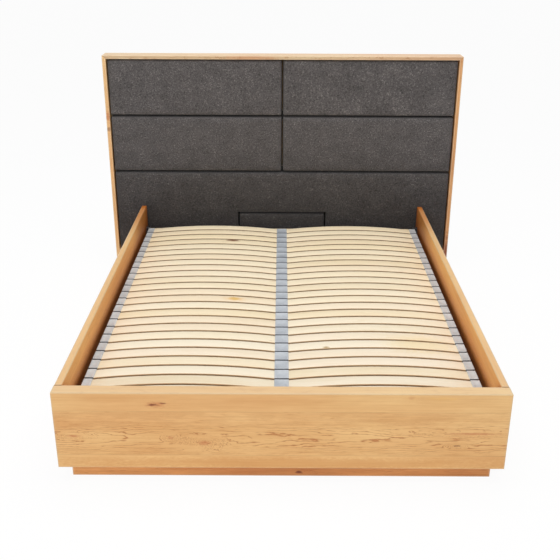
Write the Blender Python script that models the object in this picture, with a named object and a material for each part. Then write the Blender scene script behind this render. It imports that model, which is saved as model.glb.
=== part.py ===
"""A double ottoman bed in oak: a padded headboard, a low box with storage under the slats, and a
slat frame that lifts on two gas springs.

Metres, +Z up. X runs across the bed, +Y from the foot to the head, and the origin is on the floor
at the middle of the bed's outline. "left" is at -X. Run it with blender --background --python.
"""

from math import acos, asin, cos, hypot, pi, radians, sin, sqrt

import bmesh
import bpy
from mathutils import Matrix, Vector

# Sizes that drive the bed
MATTRESS_WIDTH = 1.600
MATTRESS_LENGTH = 2.000
WIDTH_PLAY = 0.020  # recess width beyond the mattress
LENGTH_PLAY = 0.060  # recess length beyond the mattress
BOARD_HEIGHT = 0.327  # side rails and footboard
MATTRESS_SINK = 0.117  # rail top down to the tops of the slat holders
PLINTH_HEIGHT = 0.063
HEADBOARD_WIDTH = 2.026
HEADBOARD_HEIGHT = 1.274
HEADBOARD_DEPTH = 0.100

# Boards of the box
RAIL_THICKNESS = 0.030
FOOTBOARD_THICKNESS = 0.056
EDGE_ROUND = 0.006  # rounded long edges of the rails and the footboard
SMALL_ROUND = 0.0015  # eased edges of the hidden boards
PLINTH_THICKNESS = 0.025
PLINTH_RECESS = 0.040
PLINTH_SPINE = 0.040  # width of the plinth board along the middle
BATTEN_WIDTH = 0.025
BATTEN_HEIGHT = 0.032
FLOOR_THICKNESS = 0.010
CROSS_RAIL_THICKNESS = 0.022
CROSS_RAIL_HEIGHT = 0.137
CORNER_BLOCK = 0.035
REST_WIDTH = 0.042
REST_HEIGHT = 0.033
REST_END_GAP = 0.045  # rest batten's end to the hinge pin

# Headboard
FRAME_BOARD = 0.020  # stiles and top board
LOWER_BOARD_THICKNESS = 0.025
LOWER_BOARD_HEIGHT = 0.047
UPPER_PAD_SHARE = 0.2823  # of the padded height
MIDDLE_PAD_SHARE = 0.2893
PAD_GAP = 0.004
PAD_RECESS = 0.004  # frame's front edge back to the pads' crown
PAD_THICKNESS = 0.040
PAD_ROLL = 0.014  # width of a pad's rounded edge
PAD_ROLL_DEPTH = 0.012
PAD_CROWN = 0.003
INSERT_WIDTH = 0.520
INSERT_HEIGHT = 0.236
PAD_BOARD = 0.012
PAD_BOARD_INSET = 0.006
HEAD_BATTEN_HEIGHT = 0.060
HEAD_BATTEN_THICKNESS = 0.020
BACK_PANEL = 0.006

# Slat frame
FRAME_END_GAP = 0.012  # footboard to the foot bar
FRAME_HEAD_GAP = 0.026  # headboard to the head bar
FRAME_SIDE_GAP = 0.024  # rail to the side bar, where the hinge plates run
BAR_WIDTH = 0.025
BAR_HEIGHT = 0.045
CENTRE_BAR_WIDTH = 0.050
SLAT_WIDTH = 0.064
SLAT_GAP_LEAST = 0.010  # as many slats as fit with this gap, then spread evenly
SLAT_THICKNESS = 0.008
SLAT_CROWN = 0.024
SLAT_EDGE = 0.0025
SLAT_END_GAP = 0.010  # between the two columns, inside the middle holders
FOOT_MARGIN = 0.015  # end of the slat frame to the first slat
HEAD_MARGIN = 0.048  # last slat to the other end of the slat frame
HOLDER_BASE = 0.002
HOLDER_WALL = 0.002
HOLDER_LIP = 0.00125  # holder beyond the slat's edge, along the bed
SIDE_HOLDER_WIDTH = 0.036
HOLDER_OVERHANG = 0.007  # side holders beyond the side bar
CENTRE_HOLDER_WIDTH = 0.058

# Lifting gear
LIFT_ANGLE = radians(45)
SPRING_CLOSED_ANGLE = radians(60)  # between the two arms of the gear with the bed closed
ARM = 0.175  # hinge pin to each end of the spring
PIVOT_FROM_HEAD = 0.045
PIVOT_RISE = 0.0045  # hinge pin above the side bar's top
PLATE = 0.003
PIN_RADIUS = 0.005
PIN_SHOULDER = 0.008
HINGE_EYE = 0.016  # radius of the plates round the pin
FIXED_PLATE_DROP = 0.070
FIXED_PLATE_REACH = 0.040  # forward of the pin
MOVING_PLATE_REACH = 0.100
PLATE_MARGIN = 0.005  # moving plate inside the side bar's height
STUD_RADIUS = 0.005
STUD_SHOULDER = 0.006
STUD_SHOULDER_RADIUS = 0.0075
STUD_HEAD = 0.003
ANCHOR_LENGTH = 0.050
ANCHOR_HEIGHT = 0.036
BRACKET_LENGTH = 0.060
BRACKET_EAR = 0.0125  # half-height of the ear round its stud
BRACKET_BACK = 0.045  # height of the leg on the rail
ANGLE_LEG = 0.040
ANGLE_BOTTOM = 0.100
ANGLE_HEIGHT = 0.075
CYLINDER_RADIUS = 0.010
CYLINDER_WALL = 0.0015
CYLINDER_END = 0.006  # closed bottom of the cylinder
CYLINDER_CRIMP = 0.0015
GLAND = 0.012  # rod guide in the mouth of the cylinder
ROD_RADIUS = 0.004
ROD_SHOWS = 0.004  # bare rod with the bed closed
PISTON = 0.008
PISTON_PLAY = 0.004  # piston to the bottom with the bed closed
EYE_RADIUS = 0.0095
EYE_WIDTH = 0.010
NECK = 0.014  # eye centre to the cylinder or the rod's collar
NECK_RADIUS = 0.0045

FIT = 0.0003  # gap between pieces that touch
OVERRUN = 0.002  # how far a cutter runs past what it cuts

ROUND_SEGMENTS = 3  # facets of a rounded long edge
ROUND_STEPS = 20
ARC_STEPS = 6
SLAT_STEPS = 6
PAD_CELLS = 5
ROLL_SHARES = (0.0, 0.13, 0.45)  # places of the rows of points on a pad's rounded edge

# Levels and places worked out from the sizes
RECESS_HALF = (MATTRESS_WIDTH + WIDTH_PLAY) / 2
OUTER_HALF = RECESS_HALF + RAIL_THICKNESS
HEAD_HALF = HEADBOARD_WIDTH / 2
RECESS_LENGTH = MATTRESS_LENGTH + LENGTH_PLAY
FRONT_Y = -(FOOTBOARD_THICKNESS + RECESS_LENGTH + HEADBOARD_DEPTH) / 2
RECESS_Y = FRONT_Y + FOOTBOARD_THICKNESS
HEAD_Y = RECESS_Y + RECESS_LENGTH
BACK_Y = HEAD_Y + HEADBOARD_DEPTH
RAIL_TOP = PLINTH_HEIGHT + BOARD_HEIGHT
FLOOR_TOP = PLINTH_HEIGHT + FLOOR_THICKNESS
BATTEN_TOP = PLINTH_HEIGHT + BATTEN_HEIGHT
CROSS_RAIL_FRONT = HEAD_Y - FIT - CROSS_RAIL_THICKNESS
PLINTH_FRONT_Y = FRONT_Y + PLINTH_RECESS
PLINTH_BACK_Y = HEAD_Y - CROSS_RAIL_THICKNESS / 2
PLINTH_HALF = OUTER_HALF - PLINTH_RECESS
PAD_TOP = HEADBOARD_HEIGHT - FRAME_BOARD
PAD_BOTTOM = PLINTH_HEIGHT + LOWER_BOARD_HEIGHT
MIDDLE_PAD_TOP = PAD_TOP - (PAD_TOP - PAD_BOTTOM) * UPPER_PAD_SHARE
LOWER_PAD_TOP = MIDDLE_PAD_TOP - (PAD_TOP - PAD_BOTTOM) * MIDDLE_PAD_SHARE
PAD_HALF = HEAD_HALF - FRAME_BOARD
PAD_BACK_Y = HEAD_Y + PAD_RECESS + PAD_THICKNESS

BAR_HALF = RECESS_HALF - FRAME_SIDE_GAP
BAR_INNER = BAR_HALF - BAR_WIDTH
HOLDER_OUTER = BAR_HALF + HOLDER_OVERHANG
HOLDER_INNER = HOLDER_OUTER - SIDE_HOLDER_WIDTH
SLAT_INNER = SLAT_END_GAP / 2
SLAT_OUTER = (HOLDER_INNER + HOLDER_OUTER) / 2
CENTRE_HOLDER_DEPTH = CENTRE_HOLDER_WIDTH / 2 - SLAT_INNER


def crown_at(share):
    """Rise of a slat's arc at a share of its length, as a circle through its ends and its middle."""
    chord = SLAT_OUTER - SLAT_INNER
    radius = (chord * chord / 4 + SLAT_CROWN * SLAT_CROWN) / (2 * SLAT_CROWN)
    across = (share - 1 / 2) * chord
    return sqrt(radius * radius - across * across) - (radius - SLAT_CROWN)


SLOT_HEIGHT = SLAT_THICKNESS + crown_at(CENTRE_HOLDER_DEPTH / (SLAT_OUTER - SLAT_INNER)) + 2 * FIT
HOLDER_HEIGHT = HOLDER_BASE + SLOT_HEIGHT + HOLDER_WALL
BAR_TOP = RAIL_TOP - MATTRESS_SINK - HOLDER_HEIGHT
BAR_BOTTOM = BAR_TOP - BAR_HEIGHT
BAR_FRONT_Y = RECESS_Y + FRAME_END_GAP
BAR_BACK_Y = HEAD_Y - FRAME_HEAD_GAP
SLAT_BOTTOM = BAR_TOP + FIT + HOLDER_BASE + FIT
FIRST_SLAT_Y = BAR_FRONT_Y + FOOT_MARGIN
SLATTED_LENGTH = BAR_BACK_Y - HEAD_MARGIN - FIRST_SLAT_Y
SLAT_COUNT = int((SLATTED_LENGTH + SLAT_GAP_LEAST) / (SLAT_WIDTH + SLAT_GAP_LEAST))
SLAT_GAP = (SLATTED_LENGTH - SLAT_COUNT * SLAT_WIDTH) / (SLAT_COUNT - 1)
SLAT_PITCH = SLAT_WIDTH + SLAT_GAP
REST_TOP = BAR_BOTTOM - FIT

PIVOT = Vector((0, HEAD_Y - PIVOT_FROM_HEAD, BAR_TOP + PIVOT_RISE))
ANCHOR_DROP = PIVOT_RISE + BAR_HEIGHT / 2
ANCHOR_ANGLE = asin(ANCHOR_DROP / ARM)  # upper arm below the level, bed closed
ANCHOR = PIVOT + ARM * Vector((0, -cos(ANCHOR_ANGLE), -sin(ANCHOR_ANGLE)))
FOOT_ANGLE = ANCHOR_ANGLE + SPRING_CLOSED_ANGLE
SPRING_FOOT = PIVOT + ARM * Vector((0, -cos(FOOT_ANGLE), -sin(FOOT_ANGLE)))
CLOSED_LENGTH = 2 * ARM * sin(SPRING_CLOSED_ANGLE / 2)
CYLINDER_LENGTH = CLOSED_LENGTH - 2 * NECK - ROD_SHOWS
ROD_LENGTH = CLOSED_LENGTH - 2 * NECK - CYLINDER_END - PISTON_PLAY
SPRING_TILT = acos((ANCHOR.z - SPRING_FOOT.z) / CLOSED_LENGTH)
EAR_OUTER = BAR_INNER - FIT
EAR_INNER = EAR_OUTER - PLATE
SPRING_X = EAR_INNER - STUD_SHOULDER - FIT - EYE_WIDTH / 2

FINISHES = {  # colour as it is seen, roughness, metallic
    "oak": ((0.88, 0.70, 0.50), 0.45, 0.0),
    "plinth_oak": ((0.77, 0.51, 0.31), 0.50, 0.0),
    "birch": ((0.95, 0.87, 0.74), 0.50, 0.0),
    "softwood": ((0.86, 0.74, 0.55), 0.65, 0.0),
    "hardboard": ((0.62, 0.50, 0.38), 0.75, 0.0),
    "grey_plastic": ((0.72, 0.74, 0.77), 0.50, 0.0),
    "wool": ((0.34, 0.32, 0.31), 0.95, 0.0),
    "zinc_steel": ((0.70, 0.71, 0.72), 0.35, 1.0),
    "black_steel": ((0.08, 0.08, 0.09), 0.45, 0.6),
    "chrome": ((0.85, 0.86, 0.87), 0.12, 1.0),
}


def finish(name):
    """The material of that name, made the first time that it is asked for."""
    found = bpy.data.materials.get(name)
    if found:
        return found
    colour, roughness, metallic = FINISHES[name]
    material = bpy.data.materials.new(name)
    material.use_nodes = True
    shader = material.node_tree.nodes["Principled BSDF"]
    shader.inputs["Base Color"].default_value = (*(channel**2.2 for channel in colour), 1)
    shader.inputs["Roughness"].default_value = roughness
    shader.inputs["Metallic"].default_value = metallic
    return material


def clear_scene():
    for obj in list(bpy.data.objects):
        bpy.data.objects.remove(obj)


def pivot_empty(name, place):
    """A carrier whose origin is on a joint's axis."""
    empty = bpy.data.objects.new(name, None)
    bpy.context.scene.collection.objects.link(empty)
    empty.location = place
    return empty


def make_object(bm, name, material, place, carrier=None):
    """An object of this mesh, whose points are measured from place, a point of the bed."""
    mesh = bpy.data.meshes.new(name)
    bmesh.ops.recalc_face_normals(bm, faces=bm.faces)
    bm.to_mesh(mesh)
    bm.free()
    mesh.materials.append(finish(material))
    obj = bpy.data.objects.new(name, mesh)
    bpy.context.scene.collection.objects.link(obj)
    obj.parent = carrier
    obj.location = Vector(place) - (carrier.location if carrier else Vector())
    return obj


def ease_edges(obj, width, segments=1, limit="ANGLE"):
    bevel = obj.modifiers.new("eased edges", "BEVEL")
    bevel.width = width
    bevel.segments = segments
    bevel.limit_method = limit


def board(name, low, high, material, round_edge=SMALL_ROUND, carrier=None, segments=1):
    """A board between two corners. Its long edges are rounded, and its ends are just eased."""
    low, high = Vector(low), Vector(high)
    size = high - low
    bm = bmesh.new()
    bmesh.ops.create_cube(bm, size=1)
    bmesh.ops.scale(bm, vec=size, verts=bm.verts)
    length_axis = max(range(3), key=lambda axis: size[axis])
    weight = bm.edges.layers.float.new("bevel_weight_edge")
    for edge in bm.edges:
        run = abs(edge.verts[0].co[length_axis] - edge.verts[1].co[length_axis])
        edge[weight] = 1 if run > size[length_axis] / 2 else SMALL_ROUND / round_edge
    obj = make_object(bm, name, material, (low + high) / 2, carrier)
    ease_edges(obj, round_edge, segments, "WEIGHT")
    return obj


def prism_mesh(loops, depth, flat):
    """A flat outline, with any holes, pushed out by depth.

    flat turns a point of the outline into a point in space, and its third column is the push."""
    bm = bmesh.new()
    edges = []
    for loop in loops:
        points = [bm.verts.new(flat @ Vector((u, v, 0))) for u, v in loop]
        edges += [bm.edges.new((points[i - 1], points[i])) for i in range(len(points))]
    bmesh.ops.triangle_fill(bm, use_beauty=True, edges=edges)
    pushed = bmesh.ops.extrude_face_region(bm, geom=bm.faces[:])
    moved = [item for item in pushed["geom"] if isinstance(item, bmesh.types.BMVert)]
    bmesh.ops.translate(bm, vec=flat @ Vector((0, 0, depth)), verts=moved)
    return bm


SIDE_VIEW = Matrix(((0, 0, 1), (1, 0, 0), (0, 1, 0)))  # outline in Y and Z, pushed along X
FRONT_VIEW = Matrix(((1, 0, 0), (0, 0, 1), (0, 1, 0)))  # outline in X and Z, pushed along Y


def arc(centre, radius, start, end, steps=ARC_STEPS):
    """Points on a circle from start to end, in degrees."""
    turns = (radians(start + (end - start) * i / steps) for i in range(steps + 1))
    return [(centre[0] + radius * cos(turn), centre[1] + radius * sin(turn)) for turn in turns]


def circle(centre, radius, steps=ROUND_STEPS):
    return arc(centre, radius, 0, 360, steps)[:-1]


def rectangle(low, high):
    return [(low[0], low[1]), (high[0], low[1]), (high[0], high[1]), (low[0], high[1])]


def smooth(obj):
    obj.data.shade_smooth()
    obj.data.set_sharp_from_angle(angle=radians(35))


def turned_mesh(profile, axis, steps=ROUND_STEPS):
    """A profile of radius and height, turned about the axis through the origin."""
    along = Vector(axis)
    outward = along.orthogonal().normalized()
    bm = bmesh.new()
    points = [bm.verts.new(outward * radius + along * height) for radius, height in profile]
    edges = [bm.edges.new(pair) for pair in zip(points, points[1:])]
    bmesh.ops.spin(bm, geom=points + edges, cent=(0, 0, 0), axis=along, dvec=(0, 0, 0),
                   angle=2 * pi, steps=steps, use_duplicate=False)
    bmesh.ops.remove_doubles(bm, verts=bm.verts, dist=FIT / 100)
    return bm


def helper(bm, name, place, carrier=None):
    """A shape that only joins or cuts others."""
    obj = make_object(bm, name, "black_steel", place, carrier)
    obj.hide_render = True
    obj.display_type = "WIRE"
    return obj


def combine(obj, other, operation):
    step = obj.modifiers.new(operation.lower(), "BOOLEAN")
    step.operation = operation
    step.solver = "EXACT"
    step.object = other


def rod_between(low, high, radius):
    """Profile of a plain pin from low to high."""
    return [(0, low), (radius, low), (radius, high), (0, high)]


def build_box():
    """Rails, footboard, plinth, storage floor and the battens that carry the slat frame."""
    board("footboard", (-OUTER_HALF, FRONT_Y, PLINTH_HEIGHT), (OUTER_HALF, RECESS_Y, RAIL_TOP),
          "oak", EDGE_ROUND, segments=ROUND_SEGMENTS)
    board("head_cross_rail", (-RECESS_HALF + FIT, CROSS_RAIL_FRONT, PLINTH_HEIGHT),
          (RECESS_HALF - FIT, HEAD_Y - FIT, PLINTH_HEIGHT + CROSS_RAIL_HEIGHT), "softwood")
    for side, sign in (("left", -1), ("right", 1)):
        build_box_side(side, sign)
    build_plinth()
    rest_y = RECESS_Y + FIT
    board("rest_batten_foot", (FIT + REST_WIDTH - RECESS_HALF + FIT, rest_y, REST_TOP - REST_HEIGHT),
          (RECESS_HALF - FIT - REST_WIDTH - FIT, rest_y + REST_WIDTH, REST_TOP), "softwood")


def side_board(name, side, sign, xs, ys, zs, material, round_edge=SMALL_ROUND, segments=1):
    """A board of one side of the bed, from the smaller and the larger distance to the middle."""
    x = sorted(sign * distance for distance in xs)
    board(f"{name}_{side}", (x[0], ys[0], zs[0]), (x[1], ys[1], zs[1]), material, round_edge,
          segments=segments)


def build_box_side(side, sign):
    inner = RECESS_HALF - FIT
    side_board("side_rail", side, sign, (RECESS_HALF, OUTER_HALF),
               (RECESS_Y + FIT, HEAD_Y - FIT), (PLINTH_HEIGHT, RAIL_TOP), "oak", EDGE_ROUND,
               ROUND_SEGMENTS)
    side_board("floor_batten", side, sign, (inner - BATTEN_WIDTH, inner),
               (RECESS_Y + FIT, CROSS_RAIL_FRONT - FIT), (PLINTH_HEIGHT, BATTEN_TOP), "softwood")
    side_board("rest_batten", side, sign, (inner - REST_WIDTH, inner),
               (RECESS_Y + FIT, PIVOT.y - REST_END_GAP), (REST_TOP - REST_HEIGHT, REST_TOP),
               "softwood")
    side_board("corner_block", side, sign, (inner - CORNER_BLOCK, inner),
               (RECESS_Y + FIT, RECESS_Y + FIT + CORNER_BLOCK),
               (BATTEN_TOP + FIT, REST_TOP - REST_HEIGHT - FIT), "softwood")
    side_board("floor_panel", side, sign, (FIT, inner - BATTEN_WIDTH - FIT),
               (RECESS_Y + FIT, CROSS_RAIL_FRONT - FIT), (PLINTH_HEIGHT, FLOOR_TOP), "hardboard")


def build_plinth():
    """A frame of upright boards, set back from the foot and the sides, with one along the middle."""
    top = PLINTH_HEIGHT - FIT
    front = PLINTH_FRONT_Y + PLINTH_THICKNESS
    back = PLINTH_BACK_Y - PLINTH_THICKNESS
    board("plinth_front", (-PLINTH_HALF, PLINTH_FRONT_Y, 0), (PLINTH_HALF, front, top),
          "plinth_oak")
    board("plinth_back", (-PLINTH_HALF, back, 0), (PLINTH_HALF, PLINTH_BACK_Y, top), "softwood")
    board("plinth_middle", (-PLINTH_SPINE / 2, front + FIT, 0), (PLINTH_SPINE / 2, back - FIT, top),
          "softwood")
    for side, sign in (("left", -1), ("right", 1)):
        side_board("plinth", side, sign, (PLINTH_HALF - PLINTH_THICKNESS, PLINTH_HALF),
                   (front + FIT, back - FIT), (0, top), "plinth_oak")


def build_headboard():
    """Mitred frame, lower board, battens and back panel, then the padded panels."""
    build_headboard_frame()
    lower_top = PAD_BOTTOM - FIT
    board("headboard_lower_board", (-PAD_HALF + FIT, HEAD_Y, PLINTH_HEIGHT),
          (PAD_HALF - FIT, HEAD_Y + LOWER_BOARD_THICKNESS, lower_top), "oak")
    batten_y = PAD_BACK_Y + FIT + PAD_BOARD + FIT
    for name, middle in (("upper", MIDDLE_PAD_TOP), ("lower", LOWER_PAD_TOP)):
        board(f"headboard_batten_{name}",
              (-PAD_HALF + FIT, batten_y, middle - HEAD_BATTEN_HEIGHT / 2),
              (PAD_HALF - FIT, batten_y + HEAD_BATTEN_THICKNESS, middle + HEAD_BATTEN_HEIGHT / 2),
              "softwood")
    board("headboard_back_panel", (-PAD_HALF + FIT, BACK_Y - BACK_PANEL, PLINTH_HEIGHT),
          (PAD_HALF - FIT, BACK_Y, PAD_TOP - FIT), "hardboard")
    build_pads()


def build_headboard_frame():
    """Two stiles and a top board, with mitred corners."""
    cut = FIT / sqrt(2)
    inner, outer, top = HEAD_HALF - FRAME_BOARD, HEAD_HALF, HEADBOARD_HEIGHT
    for side, sign in (("left", -1), ("right", 1)):
        outline = [(sign * inner, 0), (sign * outer, 0), (sign * outer, top - cut),
                   (sign * inner, top - FRAME_BOARD - cut)]
        bm = prism_mesh([outline], HEADBOARD_DEPTH, FRONT_VIEW)
        stile = make_object(bm, f"headboard_stile_{side}", "oak", (0, HEAD_Y, 0))
        ease_edges(stile, SMALL_ROUND)
    outline = [(-outer + cut, top), (outer - cut, top), (inner - cut, top - FRAME_BOARD),
               (-inner + cut, top - FRAME_BOARD)]
    bm = prism_mesh([outline], HEADBOARD_DEPTH, FRONT_VIEW)
    ease_edges(make_object(bm, "headboard_top_board", "oak", (0, HEAD_Y, 0)), SMALL_ROUND)


def build_pads():
    """The padded panels, each on its own board."""
    rows = (("upper", MIDDLE_PAD_TOP, PAD_TOP), ("middle", LOWER_PAD_TOP, MIDDLE_PAD_TOP))
    for row, low, high in rows:
        for side, x_low, x_high in (("left", -PAD_HALF, 0), ("right", 0, PAD_HALF)):
            pad(f"pad_{row}_{side}", (x_low, low), (x_high, high))
            pad_board(f"pad_board_{row}_{side}", (x_low, low), (x_high, high))
    low, high = (-PAD_HALF, PAD_BOTTOM), (PAD_HALF, LOWER_PAD_TOP)
    insert = ((-INSERT_WIDTH / 2, PAD_BOTTOM), (INSERT_WIDTH / 2, PAD_BOTTOM + INSERT_HEIGHT))
    pad("pad_lower", low, high, insert)
    pad("pad_insert", *insert)
    pad_board("pad_board_lower", low, high)


def pad_board(name, low, high):
    inset = PAD_BOARD_INSET
    y = PAD_BACK_Y + FIT
    board(name, (low[0] + inset, y, low[1] + inset),
          (high[0] - inset, y + PAD_BOARD, high[1] - inset), "softwood")


def rows_between(low, high, low_roll=True, high_roll=True):
    """Places of the rows of points from low to high, close together on the rounded edges."""
    start = low + PAD_ROLL if low_roll else low
    end = high - PAD_ROLL if high_roll else high
    rows = [low + PAD_ROLL * share for share in ROLL_SHARES] if low_roll else []
    rows += [start + (end - start) * i / PAD_CELLS for i in range(PAD_CELLS + 1)]
    rows += [high - PAD_ROLL * share for share in reversed(ROLL_SHARES)] if high_roll else []
    return rows


def pad(name, low, high, notch=None):
    """A padded panel: flat back, straight sides, rounded edges and a slightly crowned front.

    notch is a rectangle at the middle of its lower edge, left free for another pad."""
    inset = PAD_GAP / 2
    x_low, z_low, x_high, z_high = low[0] + inset, low[1] + inset, high[0] - inset, high[1] - inset
    xs, zs = rows_between(x_low, x_high), rows_between(z_low, z_high)
    if notch:
        left, right, sill = notch[0][0] - inset, notch[1][0] + inset, notch[1][1] + inset
        xs = rows_between(x_low, left) + rows_between(left, right, False, False)[1:-1]
        xs += rows_between(right, x_high)
        zs = rows_between(z_low, sill, high_roll=False)[:-1] + rows_between(sill, z_high)

    def to_edge(x, z):
        nearest = min(x - x_low, x_high - x, z - z_low, z_high - z)
        if not notch:
            return nearest
        return min(nearest, hypot(max(left - x, x - right, 0), max(z - sill, 0)))

    def front(x, z):
        reach = min(to_edge(x, z) / PAD_ROLL, 1)
        roll = PAD_ROLL_DEPTH * sqrt(max(1 - (1 - reach) ** 2, 0))
        across, up = 2 * (x - x_low) / (x_high - x_low) - 1, 2 * (z - z_low) / (z_high - z_low) - 1
        crown = PAD_CROWN * (1 - across**2) * (1 - up**2)
        return PAD_CROWN + PAD_ROLL_DEPTH - roll - crown

    def cut_away(x, z):
        return bool(notch) and left < x < right and z < sill

    bm = bmesh.new()
    points = [[bm.verts.new((x, front(x, z), z)) for z in zs] for x in xs]
    for i in range(len(xs) - 1):
        for k in range(len(zs) - 1):
            if not cut_away((xs[i] + xs[i + 1]) / 2, (zs[k] + zs[k + 1]) / 2):
                bm.faces.new((points[i][k], points[i + 1][k], points[i + 1][k + 1], points[i][k + 1]))
    bmesh.ops.delete(bm, geom=[v for v in bm.verts if not v.link_faces], context="VERTS")
    rim = [edge for edge in bm.edges if edge.is_boundary]
    pushed = bmesh.ops.extrude_edge_only(bm, edges=rim)["geom"]
    for vert in (item for item in pushed if isinstance(item, bmesh.types.BMVert)):
        vert.co.y = PAD_THICKNESS
    back_rim = [item for item in pushed if isinstance(item, bmesh.types.BMEdge)]
    bmesh.ops.contextual_create(bm, geom=back_rim)
    bmesh.ops.triangulate(bm, faces=[face for face in bm.faces if len(face.verts) > 4])
    smooth(make_object(bm, name, "wool", (0, HEAD_Y + PAD_RECESS, 0)))


def build_slat_frame(carrier):
    """Bars, holders and slats of the part that lifts."""
    for side, sign in (("left", -1), ("right", 1)):
        x = sorted((sign * BAR_INNER, sign * BAR_HALF))
        board(f"frame_side_bar_{side}", (x[0], BAR_FRONT_Y, BAR_BOTTOM), (x[1], BAR_BACK_Y, BAR_TOP),
              "birch", carrier=carrier)
        slat_column(side, sign, carrier)
    inner = BAR_INNER - FIT
    foot_bar_back, head_bar_front = BAR_FRONT_Y + BAR_WIDTH, BAR_BACK_Y - BAR_WIDTH
    board("frame_foot_bar", (-inner, BAR_FRONT_Y, BAR_BOTTOM), (inner, foot_bar_back, BAR_TOP),
          "birch", carrier=carrier)
    board("frame_head_bar", (-inner, head_bar_front, BAR_BOTTOM), (inner, BAR_BACK_Y, BAR_TOP),
          "birch", carrier=carrier)
    board("frame_centre_bar", (-CENTRE_BAR_WIDTH / 2, foot_bar_back + FIT, BAR_BOTTOM),
          (CENTRE_BAR_WIDTH / 2, head_bar_front - FIT, BAR_TOP), "birch", carrier=carrier)
    centre_holders(carrier)


def holder_edges(i):
    """Where the i-th holder starts and ends along the bed."""
    start = FIRST_SLAT_Y + i * SLAT_PITCH - HOLDER_LIP
    return start, start + SLAT_WIDTH + 2 * HOLDER_LIP


def holder_outline():
    """Side view of a strip of holders: a thin base with one raised holder to each slat."""
    base, low, high = BAR_TOP + FIT + HOLDER_BASE, BAR_TOP + FIT, BAR_TOP + HOLDER_HEIGHT
    top = []
    for i in range(SLAT_COUNT):
        start, end = holder_edges(i)
        top += [(start, base), (start, high), (end, high), (end, base)]
    front, back = FIRST_SLAT_Y - SLAT_GAP / 2, end + SLAT_GAP / 2
    return [(front, low), (front, base), *top, (back, base), (back, low)]


def centre_holders(carrier):
    """The strip of double holders along the middle, open to both sides for the slats' ends."""
    slots = []
    for i in range(SLAT_COUNT):
        start, end = holder_edges(i)
        gap = HOLDER_LIP - FIT
        slots.append(rectangle((start + gap, SLAT_BOTTOM - FIT),
                               (end - gap, SLAT_BOTTOM - FIT + SLOT_HEIGHT)))
    bm = prism_mesh([holder_outline(), *slots], CENTRE_HOLDER_WIDTH, SIDE_VIEW)
    make_object(bm, "centre_slat_holders", "grey_plastic", (-CENTRE_HOLDER_WIDTH / 2, 0, 0), carrier)


def slat_mesh(sign):
    """One bowed slat, its width along Y from zero, with its upper edges eased."""
    chord = SLAT_OUTER - SLAT_INNER
    shares = [i / SLAT_STEPS for i in range(SLAT_STEPS + 1)]
    top = [(sign * (SLAT_INNER + chord * share), SLAT_THICKNESS + crown_at(share)) for share in shares]
    bottom = [(x, z - SLAT_THICKNESS) for x, z in reversed(top)]
    bm = prism_mesh([top + bottom], SLAT_WIDTH, FRONT_VIEW)
    upper = {(round(x / FIT), round(z / FIT)) for x, z in top}

    def on_top(vert):
        return (round(vert.co.x / FIT), round(vert.co.z / FIT)) in upper

    long_edges = [edge for edge in bm.edges if all(on_top(v) for v in edge.verts)
                  and abs(edge.verts[0].co.y - edge.verts[1].co.y) < FIT
                  and len(edge.link_faces) == 2
                  and edge.calc_face_angle() > radians(45)]
    bmesh.ops.bevel(bm, geom=long_edges, offset=SLAT_EDGE, segments=1, affect="EDGES")
    return bm


def slat_column(side, sign, carrier):
    """One column of slats, held in the strip of holders on its side bar."""
    low = HOLDER_INNER if sign > 0 else -HOLDER_OUTER
    bm = prism_mesh([holder_outline()], SIDE_HOLDER_WIDTH, SIDE_VIEW)
    column = make_object(bm, f"slats_{side}", "birch", (low, 0, 0), carrier)
    group = bpy.data.collections.new(f"loose slats {side}")
    bpy.context.scene.collection.children.link(group)
    first = helper(slat_mesh(sign), f"loose_slat_{side}", (0, FIRST_SLAT_Y, SLAT_BOTTOM), carrier)
    bpy.context.scene.collection.objects.unlink(first)
    group.objects.link(first)
    for i in range(1, SLAT_COUNT):
        slat = first.copy()
        slat.location.y += i * SLAT_PITCH
        group.objects.link(slat)
    join = column.modifiers.new("slats", "BOOLEAN")
    join.operation = "UNION"
    join.solver = "EXACT"
    join.operand_type = "COLLECTION"
    join.collection = group


def build_lifting_gear(base):
    """Hinges at the head end and a gas spring on each side.

    The two arms from the hinge pin to the spring's ends are of one length, so the spring turns by
    half the lift angle, and its rod and cylinder stay in line."""
    for side, sign in (("left", -1), ("right", 1)):
        build_hinge(side, sign, base)
        spring_bracket(side, sign)
        spring_anchor(side, sign, base)
        build_spring(side, sign)
        head_angle(side, sign)


def side_prism(name, loops, inner, outer, sign, material, place, carrier=None):
    """A plate that lies along the bed, between two distances from the middle of the bed."""
    low = min(sign * inner, sign * outer)
    bm = prism_mesh(loops, outer - inner, SIDE_VIEW)
    return make_object(bm, name, material, (low, place.y, place.z), carrier)


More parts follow.
